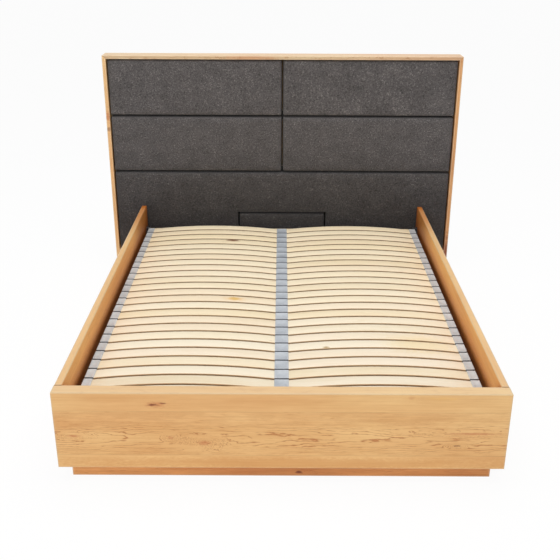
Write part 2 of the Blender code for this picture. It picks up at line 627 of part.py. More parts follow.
def build_hinge(side, sign, base):
    hole = circle((0, 0), PIN_RADIUS + FIT)
    drop, reach = FIXED_PLATE_DROP, FIXED_PLATE_REACH
    fixed = [(-reach, -drop), (HINGE_EYE, -drop), *arc((0, 0), HINGE_EYE, 0, 180),
             (-reach, -drop / 2)]
    outer = RECESS_HALF - FIT
    side_prism(f"hinge_plate_{side}", [fixed, hole], outer - PLATE, outer, sign, "black_steel", PIVOT)
    top, bottom = -PIVOT_RISE - SMALL_ROUND, -PIVOT_RISE - BAR_HEIGHT + PLATE_MARGIN
    moving = [(-MOVING_PLATE_REACH, bottom), (HINGE_EYE, bottom), *arc((0, 0), HINGE_EYE, 0, 180),
              (-HINGE_EYE, top), (-MOVING_PLATE_REACH, top)]
    inner = BAR_HALF + FIT
    side_prism(f"hinge_arm_{side}", [moving, hole], inner, inner + PLATE, sign, "black_steel",
               PIVOT, base)
    arm_face, plate_face = inner + PLATE + FIT, outer - PLATE - FIT
    pin = [(0, inner + FIT), (PIN_RADIUS, inner + FIT), (PIN_RADIUS, arm_face),
           (PIN_SHOULDER, arm_face), (PIN_SHOULDER, plate_face), (PIN_RADIUS, plate_face),
           (PIN_RADIUS, outer - FIT), (0, outer - FIT)]
    bm = turned_mesh(pin, (sign, 0, 0))
    smooth(make_object(bm, f"hinge_pin_{side}", "zinc_steel", PIVOT, base))


def stud_profile():
    """From inside the plate: shoulder, the pin that the spring's eye turns on, and its head."""
    root, face = EAR_OUTER - PLATE / 2, EAR_INNER
    seat = face - STUD_SHOULDER
    head = seat - EYE_WIDTH - 2 * FIT
    return [(0, root), (STUD_SHOULDER_RADIUS, root), (STUD_SHOULDER_RADIUS, seat),
            (STUD_RADIUS, seat), (STUD_RADIUS, head), (STUD_SHOULDER_RADIUS, head),
            (STUD_SHOULDER_RADIUS, head - STUD_HEAD), (0, head - STUD_HEAD)]


def add_stud(plate, side, sign, centre, carrier=None):
    bm = turned_mesh(stud_profile(), (sign, 0, 0))
    combine(plate, helper(bm, f"{plate.name}_stud", centre, carrier), "UNION")


def spring_bracket(side, sign):
    """On the rail: a leg up the rail, a shelf under the side bar and an ear down to the stud."""
    wall = RECESS_HALF - FIT
    shelf_low, ear_low = BRACKET_EAR, -BRACKET_EAR
    shelf_high, back_top = shelf_low + PLATE, shelf_low + BRACKET_BACK
    outline = [(EAR_INNER, ear_low), (EAR_OUTER, ear_low), (EAR_OUTER, shelf_low),
               (wall, shelf_low), (wall, back_top), (wall - PLATE, back_top),
               (wall - PLATE, shelf_high), (EAR_INNER, shelf_high)]
    bm = prism_mesh([[(sign * x, z) for x, z in outline]], BRACKET_LENGTH, FRONT_VIEW)
    place = SPRING_FOOT - Vector((0, BRACKET_LENGTH / 2, 0))
    bracket = make_object(bm, f"spring_bracket_{side}", "black_steel", place)
    add_stud(bracket, side, sign, SPRING_FOOT)


def spring_anchor(side, sign, base):
    """On the side bar: a plate with the stud of the spring's upper end."""
    half, high = ANCHOR_LENGTH / 2, ANCHOR_HEIGHT / 2
    outline = rectangle((-half, -high), (half, high))
    anchor = side_prism(f"spring_anchor_{side}", [outline], EAR_INNER, EAR_OUTER, sign,
                        "black_steel", ANCHOR, base)
    add_stud(anchor, side, sign, ANCHOR, base)


def head_angle(side, sign):
    """Steel angle in the corner of the rail and the head cross rail."""
    wall, front = RECESS_HALF - FIT - FIT, CROSS_RAIL_FRONT - FIT
    outline = [(wall - ANGLE_LEG, front), (wall, front), (wall, front - ANGLE_LEG),
               (wall - PLATE, front - ANGLE_LEG), (wall - PLATE, front - PLATE),
               (wall - ANGLE_LEG, front - PLATE)]
    top_view = Matrix.Identity(3)
    bm = prism_mesh([[(sign * x, y) for x, y in outline]], ANGLE_HEIGHT, top_view)
    make_object(bm, f"head_angle_{side}", "zinc_steel", (0, 0, ANGLE_BOTTOM))


def build_spring(side, sign):
    """Cylinder on the lower stud and rod on the upper one."""
    foot = SPRING_FOOT + Vector((sign * SPRING_X, 0, 0))
    top = ANCHOR + Vector((sign * SPRING_X, 0, 0))
    low_pivot = pivot_empty(f"cylinder_pivot_{side}", foot)
    high_pivot = pivot_empty(f"rod_pivot_{side}", top)
    spring_part(f"gas_cylinder_{side}", cylinder_profile(), "black_steel", low_pivot, SPRING_TILT)
    spring_part(f"gas_rod_{side}", rod_profile(), "chrome", high_pivot, SPRING_TILT + pi)


def spring_part(name, profile, material, pivot, tilt):
    """A turned body from the centre of its eye, with the eye joined on and its bore cut."""
    part = make_object(turned_mesh(profile, (0, 0, 1)), name, material, pivot.location, pivot)
    part.rotation_euler.x = tilt
    half = EYE_WIDTH / 2
    eye = helper(turned_mesh(rod_between(-half, half, EYE_RADIUS), (1, 0, 0)), f"{name}_eye",
                 pivot.location, pivot)
    reach = half + OVERRUN
    bore = helper(turned_mesh(rod_between(-reach, reach, STUD_RADIUS + FIT), (1, 0, 0)),
                  f"{name}_bore", pivot.location, pivot)
    combine(part, eye, "UNION")
    combine(part, bore, "DIFFERENCE")
    smooth(part)


def cylinder_profile():
    """Neck, crimped bottom, tube and the gland that guides the rod, then the bore inside."""
    bottom, mouth = NECK, NECK + CYLINDER_LENGTH
    bore, guide = CYLINDER_RADIUS - CYLINDER_WALL, ROD_RADIUS + FIT
    crimp = CYLINDER_CRIMP
    return [(0, 0), (NECK_RADIUS, 0), (NECK_RADIUS, bottom), (CYLINDER_RADIUS - crimp, bottom),
            (CYLINDER_RADIUS, bottom + crimp), (CYLINDER_RADIUS, mouth - crimp),
            (CYLINDER_RADIUS - crimp, mouth), (guide, mouth), (guide, mouth - GLAND),
            (bore, mouth - GLAND), (bore, bottom + CYLINDER_END), (0, bottom + CYLINDER_END)]


def rod_profile():
    """Neck, rod and the piston at its far end."""
    end = NECK + ROD_LENGTH
    piston = CYLINDER_RADIUS - CYLINDER_WALL - FIT
    return [(0, 0), (NECK_RADIUS, 0), (NECK_RADIUS, NECK), (ROD_RADIUS, NECK),
            (ROD_RADIUS, end - PISTON), (piston, end - PISTON), (piston, end), (0, end)]


def main():
    clear_scene()
    build_box()
    build_headboard()
    base = pivot_empty("base_pivot", PIVOT)
    build_slat_frame(base)
    build_lifting_gear(base)
    open_length = 2 * ARM * sin((SPRING_CLOSED_ANGLE + LIFT_ANGLE) / 2)
    print(f"spring from {CLOSED_LENGTH:.4f} to {open_length:.4f}, pivot {tuple(PIVOT)}")
    print(f"upper stud {tuple(ANCHOR)}, lower stud {tuple(SPRING_FOOT)}, at x {SPRING_X:.4f}")


main()
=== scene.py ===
"""Looks of the oak ottoman bed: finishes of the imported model's boards and gear, and the pieces that
replace its plain solids, which are the bowed slats, their holders and the headboard's padded panels.

Metres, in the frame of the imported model: X across the bed, +Y from the foot to the head, +Z up.
"""

import logging
import random
from collections.abc import Callable, Iterator, Sequence
from contextlib import contextmanager
from dataclasses import dataclass
from enum import Enum, IntEnum
from math import asin, atan2, cos, hypot, pi, radians, sin

import bmesh
import bpy
from bpy.types import Material, Node, NodeSocket, Object, World
from mathutils import Matrix, Vector


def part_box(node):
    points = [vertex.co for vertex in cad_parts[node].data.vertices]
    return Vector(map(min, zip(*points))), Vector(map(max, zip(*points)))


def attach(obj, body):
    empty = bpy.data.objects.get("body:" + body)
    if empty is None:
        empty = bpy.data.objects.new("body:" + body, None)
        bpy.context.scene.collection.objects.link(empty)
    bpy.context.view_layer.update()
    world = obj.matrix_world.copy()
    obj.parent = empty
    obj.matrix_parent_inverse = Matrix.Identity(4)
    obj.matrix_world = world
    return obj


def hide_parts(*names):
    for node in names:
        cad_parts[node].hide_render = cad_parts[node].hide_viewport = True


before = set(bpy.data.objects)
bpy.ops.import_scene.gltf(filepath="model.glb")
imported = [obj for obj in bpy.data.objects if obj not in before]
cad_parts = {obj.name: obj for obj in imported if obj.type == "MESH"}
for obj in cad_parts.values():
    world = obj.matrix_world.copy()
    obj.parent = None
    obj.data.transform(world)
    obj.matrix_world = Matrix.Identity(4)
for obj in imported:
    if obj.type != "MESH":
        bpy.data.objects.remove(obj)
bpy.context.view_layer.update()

LOG = logging.getLogger("ottoman bed")

Colour = tuple[float, float, float, float]
Test = Callable[[bmesh.types.BMEdge | bmesh.types.BMFace], bool]


class Axis(IntEnum):
    """A direction of the bed: across it, along it, or up."""

    X = 0
    Y = 1
    Z = 2


class Element(Enum):
    """What is picked in edit mode, with Blender's name for it."""

    EDGE = "EDGE"
    FACE = "FACE"


class Body(Enum):
    """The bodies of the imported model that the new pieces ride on."""

    BED = "root"
    BASE = "slatted_base"


def seen(red: int, green: int, blue: int) -> Colour:
    """Turns a colour as it is seen into the linear numbers of a shader.

    Args:
        red: Red from 0 to 255.
        green: Green from 0 to 255.
        blue: Blue from 0 to 255.

    Returns:
        The linear colour with full alpha.
    """
    linear = []
    for channel in (red, green, blue):
        share = channel / 255
        linear.append(share / 12.92 if share <= 0.04045 else ((share + 0.055) / 1.055) ** 2.4)
    return (*linear, 1.0)


def maths(operation: str, last: bool = False) -> Callable[..., "Value"]:
    """Makes a method of Value that adds one Math node.

    Args:
        operation: What the node works out.
        last: Whether the value itself is the last term and not the first.

    Returns:
        The method, which takes the other terms.
    """

    def method(value: "Value", *others: "Value | float") -> "Value":
        """Adds the node."""
        terms = (*others, value) if last else (value, *others)
        return value.graph.maths(operation, *terms)

    return method


class Value:
    """A number or colour that varies over a surface. An expression on it adds its Math nodes."""

    __add__ = __radd__ = maths("ADD")
    __sub__ = maths("SUBTRACT")
    __rsub__ = maths("SUBTRACT", last=True)
    __mul__ = __rmul__ = maths("MULTIPLY")
    __truediv__ = maths("DIVIDE")
    __pow__ = maths("POWER")
    floor = maths("FLOOR")  # the whole number below
    fraction = maths("FRACT")  # what is left above the whole number below
    size = maths("ABSOLUTE")  # the number without its sign
    least = maths("MINIMUM")  # the smaller of two
    most = maths("MAXIMUM")  # the larger of two

    def __init__(self, graph: "Graph", socket: NodeSocket) -> None:
        """Wraps a socket of a graph."""
        self.graph = graph
        self.socket = socket

    def wave(self) -> "Value":
        """A sine of this many turns, from 0 to 1."""
        return self.graph.maths("SINE", self * (2 * pi)) * 0.5 + 0.5

    def ramp(self, low: float, high: float) -> "Value":
        """A soft step between 0 and 1.

        Args:
            low: Where it is 0.
            high: Where it is 1. It may lie below low, for a step down.

        Returns:
            The step.
        """
        start, end = (0.0, 1.0) if low < high else (1.0, 0.0)
        inputs = {"Value": self, "From Min": min(low, high), "From Max": max(low, high),
                  "To Min": start, "To Max": end}
        return self.graph.read("MapRange", "Result", {"interpolation_type": "SMOOTHSTEP"}, inputs)


class Graph:
    """The nodes of one material or world, from the place on a piece to the surface."""

    def __init__(self, name: str, world: World | None = None) -> None:
        """Starts a material of that name, or goes to work on a world.

        Args:
            name: The material's name, which also settles its chances.
            world: The world, if it is one.
        """
        self.material = world or bpy.data.materials.new(name)
        self.material.use_nodes = True
        self.tree = self.material.node_tree
        self.shader = self.tree.nodes["Background" if world else "Principled BSDF"]
        self.offset = random.Random(name).uniform(0, 40)

    def node(self, kind: str, settings: dict | None = None, inputs: dict | None = None) -> Node:
        """Adds a node.

        Args:
            kind: Its type, without the words that all shader nodes start with.
            settings: Its settings by name.
            inputs: Values, sockets or constants by the name or number of their input.

        Returns:
            The node.
        """
        node = self.tree.nodes.new(f"ShaderNode{kind}")
        for name, value in (settings or {}).items():
            setattr(node, name, value)
        for key, value in (inputs or {}).items():
            self.feed(node.inputs[key], value)
        return node

    def read(self, kind: str, output: int | str, settings: dict | None = None,
             inputs: dict | None = None) -> Value:
        """Adds a node, and gives one of its outputs."""
        return Value(self, self.node(kind, settings, inputs).outputs[output])

    def feed(self, socket: NodeSocket, value: object) -> None:
        """Links a value or socket to an input, or sets a constant on it.

        Args:
            socket: The input.
            value: A value, socket or constant.
        """
        if isinstance(value, Value):
            value = value.socket
        if isinstance(value, NodeSocket):
            self.tree.links.new(value, socket)
        else:
            socket.default_value = value

    def maths(self, operation: str, *terms: Value | float) -> Value:
        """One Math node on values and numbers."""
        return self.read("Math", 0, {"operation": operation}, dict(enumerate(terms)))

    def split(self, vector: Value) -> list[Value]:
        """The three parts of a vector."""
        parts = self.node("SeparateXYZ", inputs={0: vector})
        return [Value(self, parts.outputs[i]) for i in range(3)]

    def place(self) -> list[Value]:
        """The place on the piece, in metres along X, Y and Z."""
        return self.split(self.read("TexCoord", "Object"))

    def facing(self) -> list[Value]:
        """The parts of the direction that the surface faces."""
        return self.split(self.read("TexCoord", "Normal"))

    def carried(self, attribute: str) -> list[Value]:
        """The three parts of an attribute that the piece's mesh carries."""
        return self.split(self.read("Attribute", "Vector", {"attribute_name": attribute}))

    def noise(self, place: Sequence[Value | float], *scales: float, detail: float = 2,
              rough: float = 0.5) -> Value:
        """Soft noise from 0 to 1, mostly near a half.

        Args:
            place: The three parts of the place.
            scales: Swings to a unit of each part. The last one holds for the parts that are left.
            detail: How many finer layers it has.
            rough: How strong those are.

        Returns:
            The noise.
        """
        scales += scales[-1:] * (len(place) - len(scales))
        parts = {i: place[i] * scales[i] for i in range(3)}
        vector = self.read("CombineXYZ", 0, inputs=parts)
        inputs = {"Vector": vector, "Scale": 1.0, "Detail": detail, "Roughness": rough}
        return self.read("TexNoise", "Fac", inputs=inputs)

    def chance(self, number: Value) -> Value:
        """A random number from 0 to 1 for each whole number."""
        return self.read("TexWhiteNoise", "Value", {"noise_dimensions": "1D"}, {"W": number})

    def openness(self, reach: float) -> Value:
        """How free the surface lies, from 0 deep in a gap to 1 with nothing within reach."""
        return self.read("AmbientOcclusion", "AO", {"samples": 8}, {"Distance": reach})

    def mix(self, share: Value | float, first: object, second: object) -> Value:
        """A colour between two colours."""
        return self.read("Mix", 2, {"data_type": "RGBA"}, {0: share, 6: first, 7: second})

    def shaded(self, colour: Value, strength: Value) -> Value:
        """A colour made lighter or darker by a value around 1."""
        return self.read("VectorMath", 0, {"operation": "SCALE"}, {0: colour, "Scale": strength})

    def surface(self, colour: Value, roughness: Value | float, height: Value, depth: float,
                strength: float, metallic: float = 0.0) -> None:
        """Feeds the surface.

        Args:
            colour: The base colour.
            roughness: The roughness.
            height: The relief from 0 to 1.
            depth: Metres between the relief's 0 and 1.
            strength: How much of the relief shows.
            metallic: 1 for bare metal.
        """
        relief = self.read("Bump", 0, inputs={"Strength": strength, "Distance": depth, "Height": height})
        for name, value in (("Base Color", colour), ("Roughness", roughness), ("Metallic", metallic),
                            ("Normal", relief)):
            self.feed(self.shader.inputs[name], value)


class Board(Graph):
    """The graph of one board, with where a point of it lies and how its surface faces there."""

    rubbed_width = (0.008, 0.0015)  # where the rubbing of an edge starts, and where it is full

    def __init__(self, name: str, node: str, grain: Axis, face: Axis) -> None:
        """Starts the board's material.

        Args:
            name: The material's name.
            node: The board.
            grain: The axis that its grain runs along.
            face: The axis across the grain, on the board's widest face.
        """
        super().__init__(name)
        self.at, self.out = self.place(), self.facing()
        self.along, self.across, self.deep = (self.at[axis] for axis in (grain, face, 3 - grain - face))
        self.end = self.out[grain].size().ramp(0.7, 0.9)  # where the end grain shows
        low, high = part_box(node)
        near = [(self.at[i] - low[i]).least(high[i] - self.at[i]) for i in range(3)]
        second = near[0].least(near[1]).most(near[0].most(near[1]).least(near[2]))
        self.edge = second.ramp(*self.rubbed_width)  # where hands have rubbed it


@dataclass(frozen=True)
class Knot:
    """A knot or streak in a board. Its place is along and across the grain, in metres."""

    along: float
    across: float
    radius: float
    strength: float = 1.0
    stretch: float = 2.0  # how many times longer than wide
    colour: Colour = seen(112, 44, 2)
    swirl: float = 6.0  # rings that it pushes aside

    def shape(self, graph: Graph, along: Value, across: Value) -> tuple[Value, Value]:
        """The marks that it leaves in the wood.

        Args:
            graph: The board's graph.
            along: Place along the grain.
            across: Place across the grain.

        Returns:
            How many rings it pushes a place aside by, and how much of its own colour shows there.
        """
        x = (along - self.along) / (self.radius * self.stretch)
        y = (across - self.across) / self.radius
        rough = graph.noise((along, across, graph.offset), 70, 180, 1, detail=3)
        far = (x * x + y * y) ** 0.5 + (rough - 0.5) * 1.4
        return far.ramp(5.0, 0.0) ** 2 * self.swirl, far.ramp(1.15, 0.3) * (self.strength * 0.9)


@dataclass(frozen=True)
class Timber:
    """A kind of timber, with its tones and the size of its figure in metres."""

    name: str
    pale: Colour
    dark: Colour
    heartwood: Colour
    line: Colour = seen(160, 94, 42)
    strip: float = 0.19  # width of the strips that a board is glued from
    strip_contrast: float = 0.12
    rings: float = 12.0  # rings from the heart of a strip to its edge
    arch: float = 0.22  # length of board to one ring, where the figure arches
    ripple: float = 2.6  # rings that the finer waves of the figure shift it by
    line_share: float = 0.55
    streak_contrast: float = 0.55
    cloud_contrast: float = 0.9
    heart_share: float = 0.22
    painted_top_light: float = 0.0  # painted light: how much paler a face is that looks up
    rubbed: float = 0.3  # how much paler its edges are
    painted_gap_shade: float = 0.0  # painted shade: how much darker a surface is made in narrow gaps, where the ambient occlusion finds it hemmed in
    gap_shade_reach: float = 0.10
    gap_shade_warm: Colour = seen(226, 134, 44)
    gap_shade_tone: Colour = seen(104, 50, 12)
    rubbed_and_lit_tone: Colour = seen(242, 226, 194)  # of rubbed edges, which is wear, and of the painted light on faces that look up
    shady_tone: Colour | None = None  # painted shade inside a rail, near the headboard
    shady_reach: tuple[float, float] = (0.45, 0.86)  # the Y where that shade starts and is full
    shady_share: float = 0.62
    shady_darkening: float = 0.36
    roughness: float = 0.48
    end_darkening: float = 0.15
    glue_darkening: float = 0.14
    longest: float = 9.0  # length of timber that the strips are cut from
    other_draw: float = 17.3  # shift to a second random number for a strip

    def dress(self, node: str, grain: Axis, face: Axis, knots: Sequence[Knot] = (),
              joint: float = 0.0, wild: int | None = None) -> None:
        """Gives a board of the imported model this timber.

        Args:
            node: The board.
            grain: The axis that its grain runs along.
            face: The axis across the grain, on the board's widest face.
            knots: Its knots, in the frame's own metres.
            joint: Where the board's first strip starts, along the face axis.
            wild: The strip with the liveliest figure, or none for chance.
        """
        board = Board(f"{self.name}_{node}", node, grain, face)
        lane = (board.across - joint) / self.strip
        strip, in_strip = lane.floor(), lane.fraction()
        chance = board.chance(strip + board.offset)
        heart = board.chance(strip + board.offset + self.other_draw) * 0.6 + 0.2
        place = (board.along + chance * self.longest + board.offset, board.across, board.deep)
        drift = board.noise(place, 1.3, 7)
        shapes = [knot.shape(board, board.along, board.across) for knot in knots]
        lively = chance.ramp(0.2, 0.9) if wild is None else (strip - wild).size().ramp(0.6, 0.3)
        lines = self._lines(place, in_strip - heart, drift, [swirl for swirl, _ in shapes])
        streaks = board.noise(place, 3, 150, detail=4, rough=0.65)
        fibres = board.noise(place, 14, 1100)
        pores = board.noise(place, 26, 300).ramp(0.60, 0.78) * lively
        clouds = board.noise(place, 2.2, 11, detail=3)
        tone = (0.40 + (streaks - 0.5) * self.streak_contrast + (clouds - 0.5) * self.cloud_contrast
                + (drift - 0.5) * 0.4 + (chance - 0.5) * self.strip_contrast
                + (fibres - 0.5) * 0.25 + pores * 0.3)
        colour = board.mix(tone.ramp(0.0, 1.0), self.pale, self.dark)
        warm = board.noise(place, 0.9, 6).ramp(0.48, 0.72) * self.heart_share
        colour = board.mix(warm, colour, self.heartwood)
        colour = board.mix(lines * (0.3 + lively * 0.7) * self.line_share, colour, self.line)
        for knot, (_, core) in zip(knots, shapes):
            colour = board.mix(core, colour, knot.colour)
        glue = (in_strip - 0.5).size().ramp(0.492, 0.5)
        roughness = self.roughness + (streaks - 0.5) * 0.2 - board.edge * 0.06
        relief = streaks * 0.5 + fibres * 0.5 - glue - pores * 0.5
        board.surface(self._weather(board, colour, glue), roughness, relief, 0.0004, 0.35)
        dress_node(node, board.material)

    def _lines(self, place: Sequence[Value], bow: Value, drift: Value,
               swirls: Sequence[Value]) -> Value:
        """The dark lines of the rings.

        Args:
            place: Place along the grain, across it and into the board.
            bow: How far from the heart of its strip a place is, in strips.
            drift: The slow waves of the figure.
            swirls: The rings that each knot pushes aside.

        Returns:
            How dark the lines are, from 0 to 1.
        """
        ripple = drift.graph.noise(place, 11, 52, detail=3)
        figure = bow * bow * (4 * self.rings) + place[0] / self.arch + drift * 5 + ripple * self.ripple
        for swirl in swirls:
            figure = figure + swirl
        return figure.wave() ** 8 * drift.graph.noise(place, 12, 70).ramp(0.34, 0.58)

    def _weather(self, board: Board, colour: Value, glue: Value) -> Value:
        """The wear of the edges, the end grain and the glue lines, with painted light on faces that look
        up and painted shade in narrow gaps and inside the rails near the headboard.

        Args:
            board: The board.
            colour: The fresh wood.
            glue: Where the glue lines are.

        Returns:
            The colour that shows.
        """
        # painted light: faces that look up are made paler, standing in for light from above
        top_lit = board.out[Axis.Z].ramp(0.3, 0.95) * self.painted_top_light
        colour = board.mix(board.edge * self.rubbed + top_lit, colour, self.rubbed_and_lit_tone)
        colour = board.mix(board.end * 0.5, colour, self.heartwood)
        # painted shade: first more orange, then dark brown, where little of the surroundings reaches
        if self.painted_gap_shade:
            free = board.openness(self.gap_shade_reach)
            colour = board.mix(free.ramp(1.0, 0.65) * self.painted_gap_shade, colour, self.gap_shade_warm)
            colour = board.mix(free.ramp(0.86, 0.44) * self.painted_gap_shade, colour, self.gap_shade_tone)
        strength = 1 - board.end * self.end_darkening - glue * self.glue_darkening
        # painted shade: inside the rails, towards the headboard, the wood is made darker
        if self.shady_tone:
            outward = board.out[Axis.X] * board.at[Axis.X]
            shady = board.at[Axis.Y].ramp(*self.shady_reach) * outward.ramp(0.6, 0.3)
            colour = board.mix(shady * self.shady_share, colour, self.shady_tone)
            strength = strength - shady * outward.ramp(-0.3, -0.6) * self.shady_darkening
        return board.shaded(colour, strength)


def dress_node(node: str, material: Material) -> None:
    """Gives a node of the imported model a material."""
    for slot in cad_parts[node].material_slots:
        slot.material = material


REDDISH = seen(196, 112, 62)
YELLOWISH = seen(240, 190, 110)
ORANGE = seen(214, 142, 70)
# tone of rubbed edges, which is wear, and of the painted light on faces that look up
RUBBED_AND_LIT = seen(208, 190, 156)
OAK = Timber("oak", seen(250, 208, 143), seen(212, 146, 79), seen(217, 141, 79), painted_top_light=0.45,
             rubbed_and_lit_tone=RUBBED_AND_LIT, line=seen(174, 92, 26), line_share=0.75, rings=15.0,
             streak_contrast=0.48, cloud_contrast=0.65)
RAIL_OAK = Timber("rail_oak", seen(252, 193, 106), seen(219, 143, 58), seen(217, 134, 54),
                  painted_top_light=0.5, rubbed_and_lit_tone=RUBBED_AND_LIT, line=seen(170, 92, 30), line_share=0.6, painted_gap_shade=0.9,
                  shady_tone=seen(190, 102, 24))
HEAD_OAK = Timber("head_oak", seen(220, 196, 158), seen(194, 154, 112), seen(198, 140, 102),
                  heart_share=0.5, painted_top_light=0.12)
STILE_OAK = Timber("stile_oak", seen(242, 203, 146), seen(211, 154, 91), seen(219, 149, 88),
                   heart_share=0.45, painted_top_light=0.12)
DARK_OAK = Timber("dark_oak", seen(223, 168, 110), seen(176, 111, 61), seen(182, 102, 58),
                  heart_share=0.5, painted_top_light=0.2)
PLINTH_OAK = Timber("plinth_oak", seen(250, 184, 114), seen(190, 118, 62), seen(200, 116, 62),
                    heart_share=0.6)
PINE = Timber("pine", seen(240, 217, 172), seen(205, 160, 104), seen(214, 170, 118), strip=0.3,
              rings=5, strip_contrast=0.1, ripple=1.0, roughness=0.6)
# Near black pine for the battens behind the pads: painted shade where they show through the gaps between
# panels.
SHADE_BLACK_PINE = Timber("blacked_pine", seen(44, 40, 38), seen(28, 26, 25), seen(32, 28, 26),
                      line=seen(20, 18, 18), strip=0.3, roughness=0.7)
BIRCH_PLY = Timber("birch", seen(244, 224, 188), seen(214, 182, 136), seen(226, 190, 150),
                   line_share=0.2, ripple=1.0)


@dataclass(frozen=True)
class Hardboard:
    """Pressed fibreboard, of the storage floor and the headboard's back."""

    pale: Colour = seen(196, 168, 132)
    dark: Colour = seen(140, 108, 74)

    def dress(self, node: str) -> None:
        """Gives a panel this finish: short brown fibres in all directions, with soft clouds.

        Args:
            node: The panel.
        """
        graph = Graph(f"hardboard_{node}")
        place = graph.place()
        clouds = graph.noise(place, 3, detail=3)
        fibres = graph.noise(place, 260, detail=4, rough=0.7)
        specks = graph.noise(place, 900)
        tone = (clouds - 0.5) * 0.25 + (fibres - 0.5) * 1.3 + (specks - 0.5) * 0.7 + 0.5
        colour = graph.mix(tone.ramp(0, 1), self.pale, self.dark)
        graph.surface(colour, 0.62 + (fibres - 0.5) * 0.3, fibres, 0.0003, 0.4)
        dress_node(node, graph.material)


@dataclass(frozen=True)
class SlatVeneer:
    """Bent birch plywood of the slats: every slat has its own tone, and its edges show the plies."""

    pale: Colour = seen(248, 238, 216)
    dark: Colour = seen(230, 210, 174)
    rosy: Colour = seen(248, 228, 206)
    golden: Colour = seen(250, 226, 178)
    mark: Colour = seen(176, 112, 58)
    glue: Colour = seen(168, 126, 84)
    ply_tone: Colour = seen(230, 198, 156)
    ply: float = 0.0014
    width: float = 0.064
    other_draw: float = 13.7  # shift to a second random number for a slat
    tops: tuple[float, float] = (0.925, 0.0055)  # painted light: brightness of the first top, and change to the next, so the tops get lighter towards the head
    sides: tuple[float, float] = (1.12, -0.025)  # painted light: the same of the side faces, which get darker towards the head

    def material(self, name: str, knots: Sequence[Knot] = ()) -> Material:
        """The material of one column. It reads the attributes "grain" and "slat".

        Args:
            name: The material's name.
            knots: The column's knots, by their X and Y.

        Returns:
            The material.
        """
        graph = Graph(name)
        along, across, deep = graph.carried("grain")
        number, side = graph.carried("slat")[:2]
        mark = number + side * 40
        chance, other = graph.chance(mark), graph.chance(mark + self.other_draw)
        run = along + chance * 7
        slat = (run, across, mark)
        clouds = graph.noise(slat, 2.5, 14, 1)
        streaks = graph.noise(slat, 5, 220, 1, detail=4, rough=0.6)
        fibres = graph.noise((run, across, deep), 30, 1500, 900)
        lines = ((across - chance * self.width) ** 2 * 3000 + run * 2.5 + clouds * 5).wave() ** 4
        tone = ((streaks - 0.5) * 0.8 + (clouds - 0.5) * 0.7 + lines * 0.2 + (chance - 0.5) * 0.5
                + (fibres - 0.5) * 0.2 + 0.25)
        colour = graph.mix(tone.ramp(0, 1), self.pale, self.dark)
        colour = graph.mix(other.ramp(0.6, 0.9) * 0.35, colour, self.rosy)
        # the part that grows with the slat's number is painted light: the slats get more golden towards
        # the head
        colour = graph.mix(other.ramp(0.4, 0.1) * 0.2 + number * 0.019, colour, self.golden)
        blemish = graph.noise(slat, 7, 55, 3.1, detail=1).ramp(0.77, 0.84)
        colour = graph.mix(blemish * 0.7, colour, self.mark)
        x, y, _ = graph.place()
        for knot in knots:
            colour = graph.mix(knot.shape(graph, x, y)[1], colour, knot.colour)
        layer = ((deep / self.ply).fraction() - 0.5).size().ramp(0.2, 0.36)
        side_face = graph.facing()[1].size().ramp(0.35, 0.7)
        colour = graph.mix(side_face, colour, graph.mix(layer, self.ply_tone, self.glue))
        # painted light: tops lighter and side faces darker towards the head
        tops, sides = (number * change + first for first, change in (self.tops, self.sides))
        colour = graph.shaded(colour, tops + (sides - tops) * side_face)
        graph.surface(colour, 0.46 + (streaks - 0.5) * 0.25, streaks * 0.6 + fibres * 0.4, 0.0003, 0.3)
        return graph.material


@dataclass(frozen=True)
class MouldedPlastic:
    """Satin plastic of the slat holders, with a fine spark-eroded texture."""

    light: Colour = seen(195, 200, 206)
    dark: Colour = seen(170, 176, 183)
    gap_face_shade: Colour = seen(84, 88, 98)

    def material(self, name: str) -> Material:
        """The material, with soft clouds of wear, and painted shade on the faces between one holder and
        the next.

        Args:
            name: Its name.

        Returns:
            The material.
        """
        graph = Graph(name)
        place = graph.place()
        clouds = graph.noise(place, 9, detail=3)
        grain = graph.noise(place, 1400)
        dust = graph.noise(place, 70, detail=4)
        colour = graph.mix((clouds * 0.7 + dust * 0.3).ramp(0.3, 0.7), self.light, self.dark)
        # painted shade: faces towards the next holder are made darker
        between = graph.facing()[1].size().ramp(0.35, 0.8)
        colour = graph.mix(between * 0.9, colour, self.gap_face_shade)
        graph.surface(colour, 0.42 + (dust - 0.5) * 0.3 + between * 0.2, grain, 0.0002, 0.25)
        return graph.material


# painted light: a lighter, bluer copy of the holders' plastic for the side holders, beside the rails
LIT_SIDE_PLASTIC = MouldedPlastic(light=seen(209, 212, 213), dark=seen(184, 188, 190))


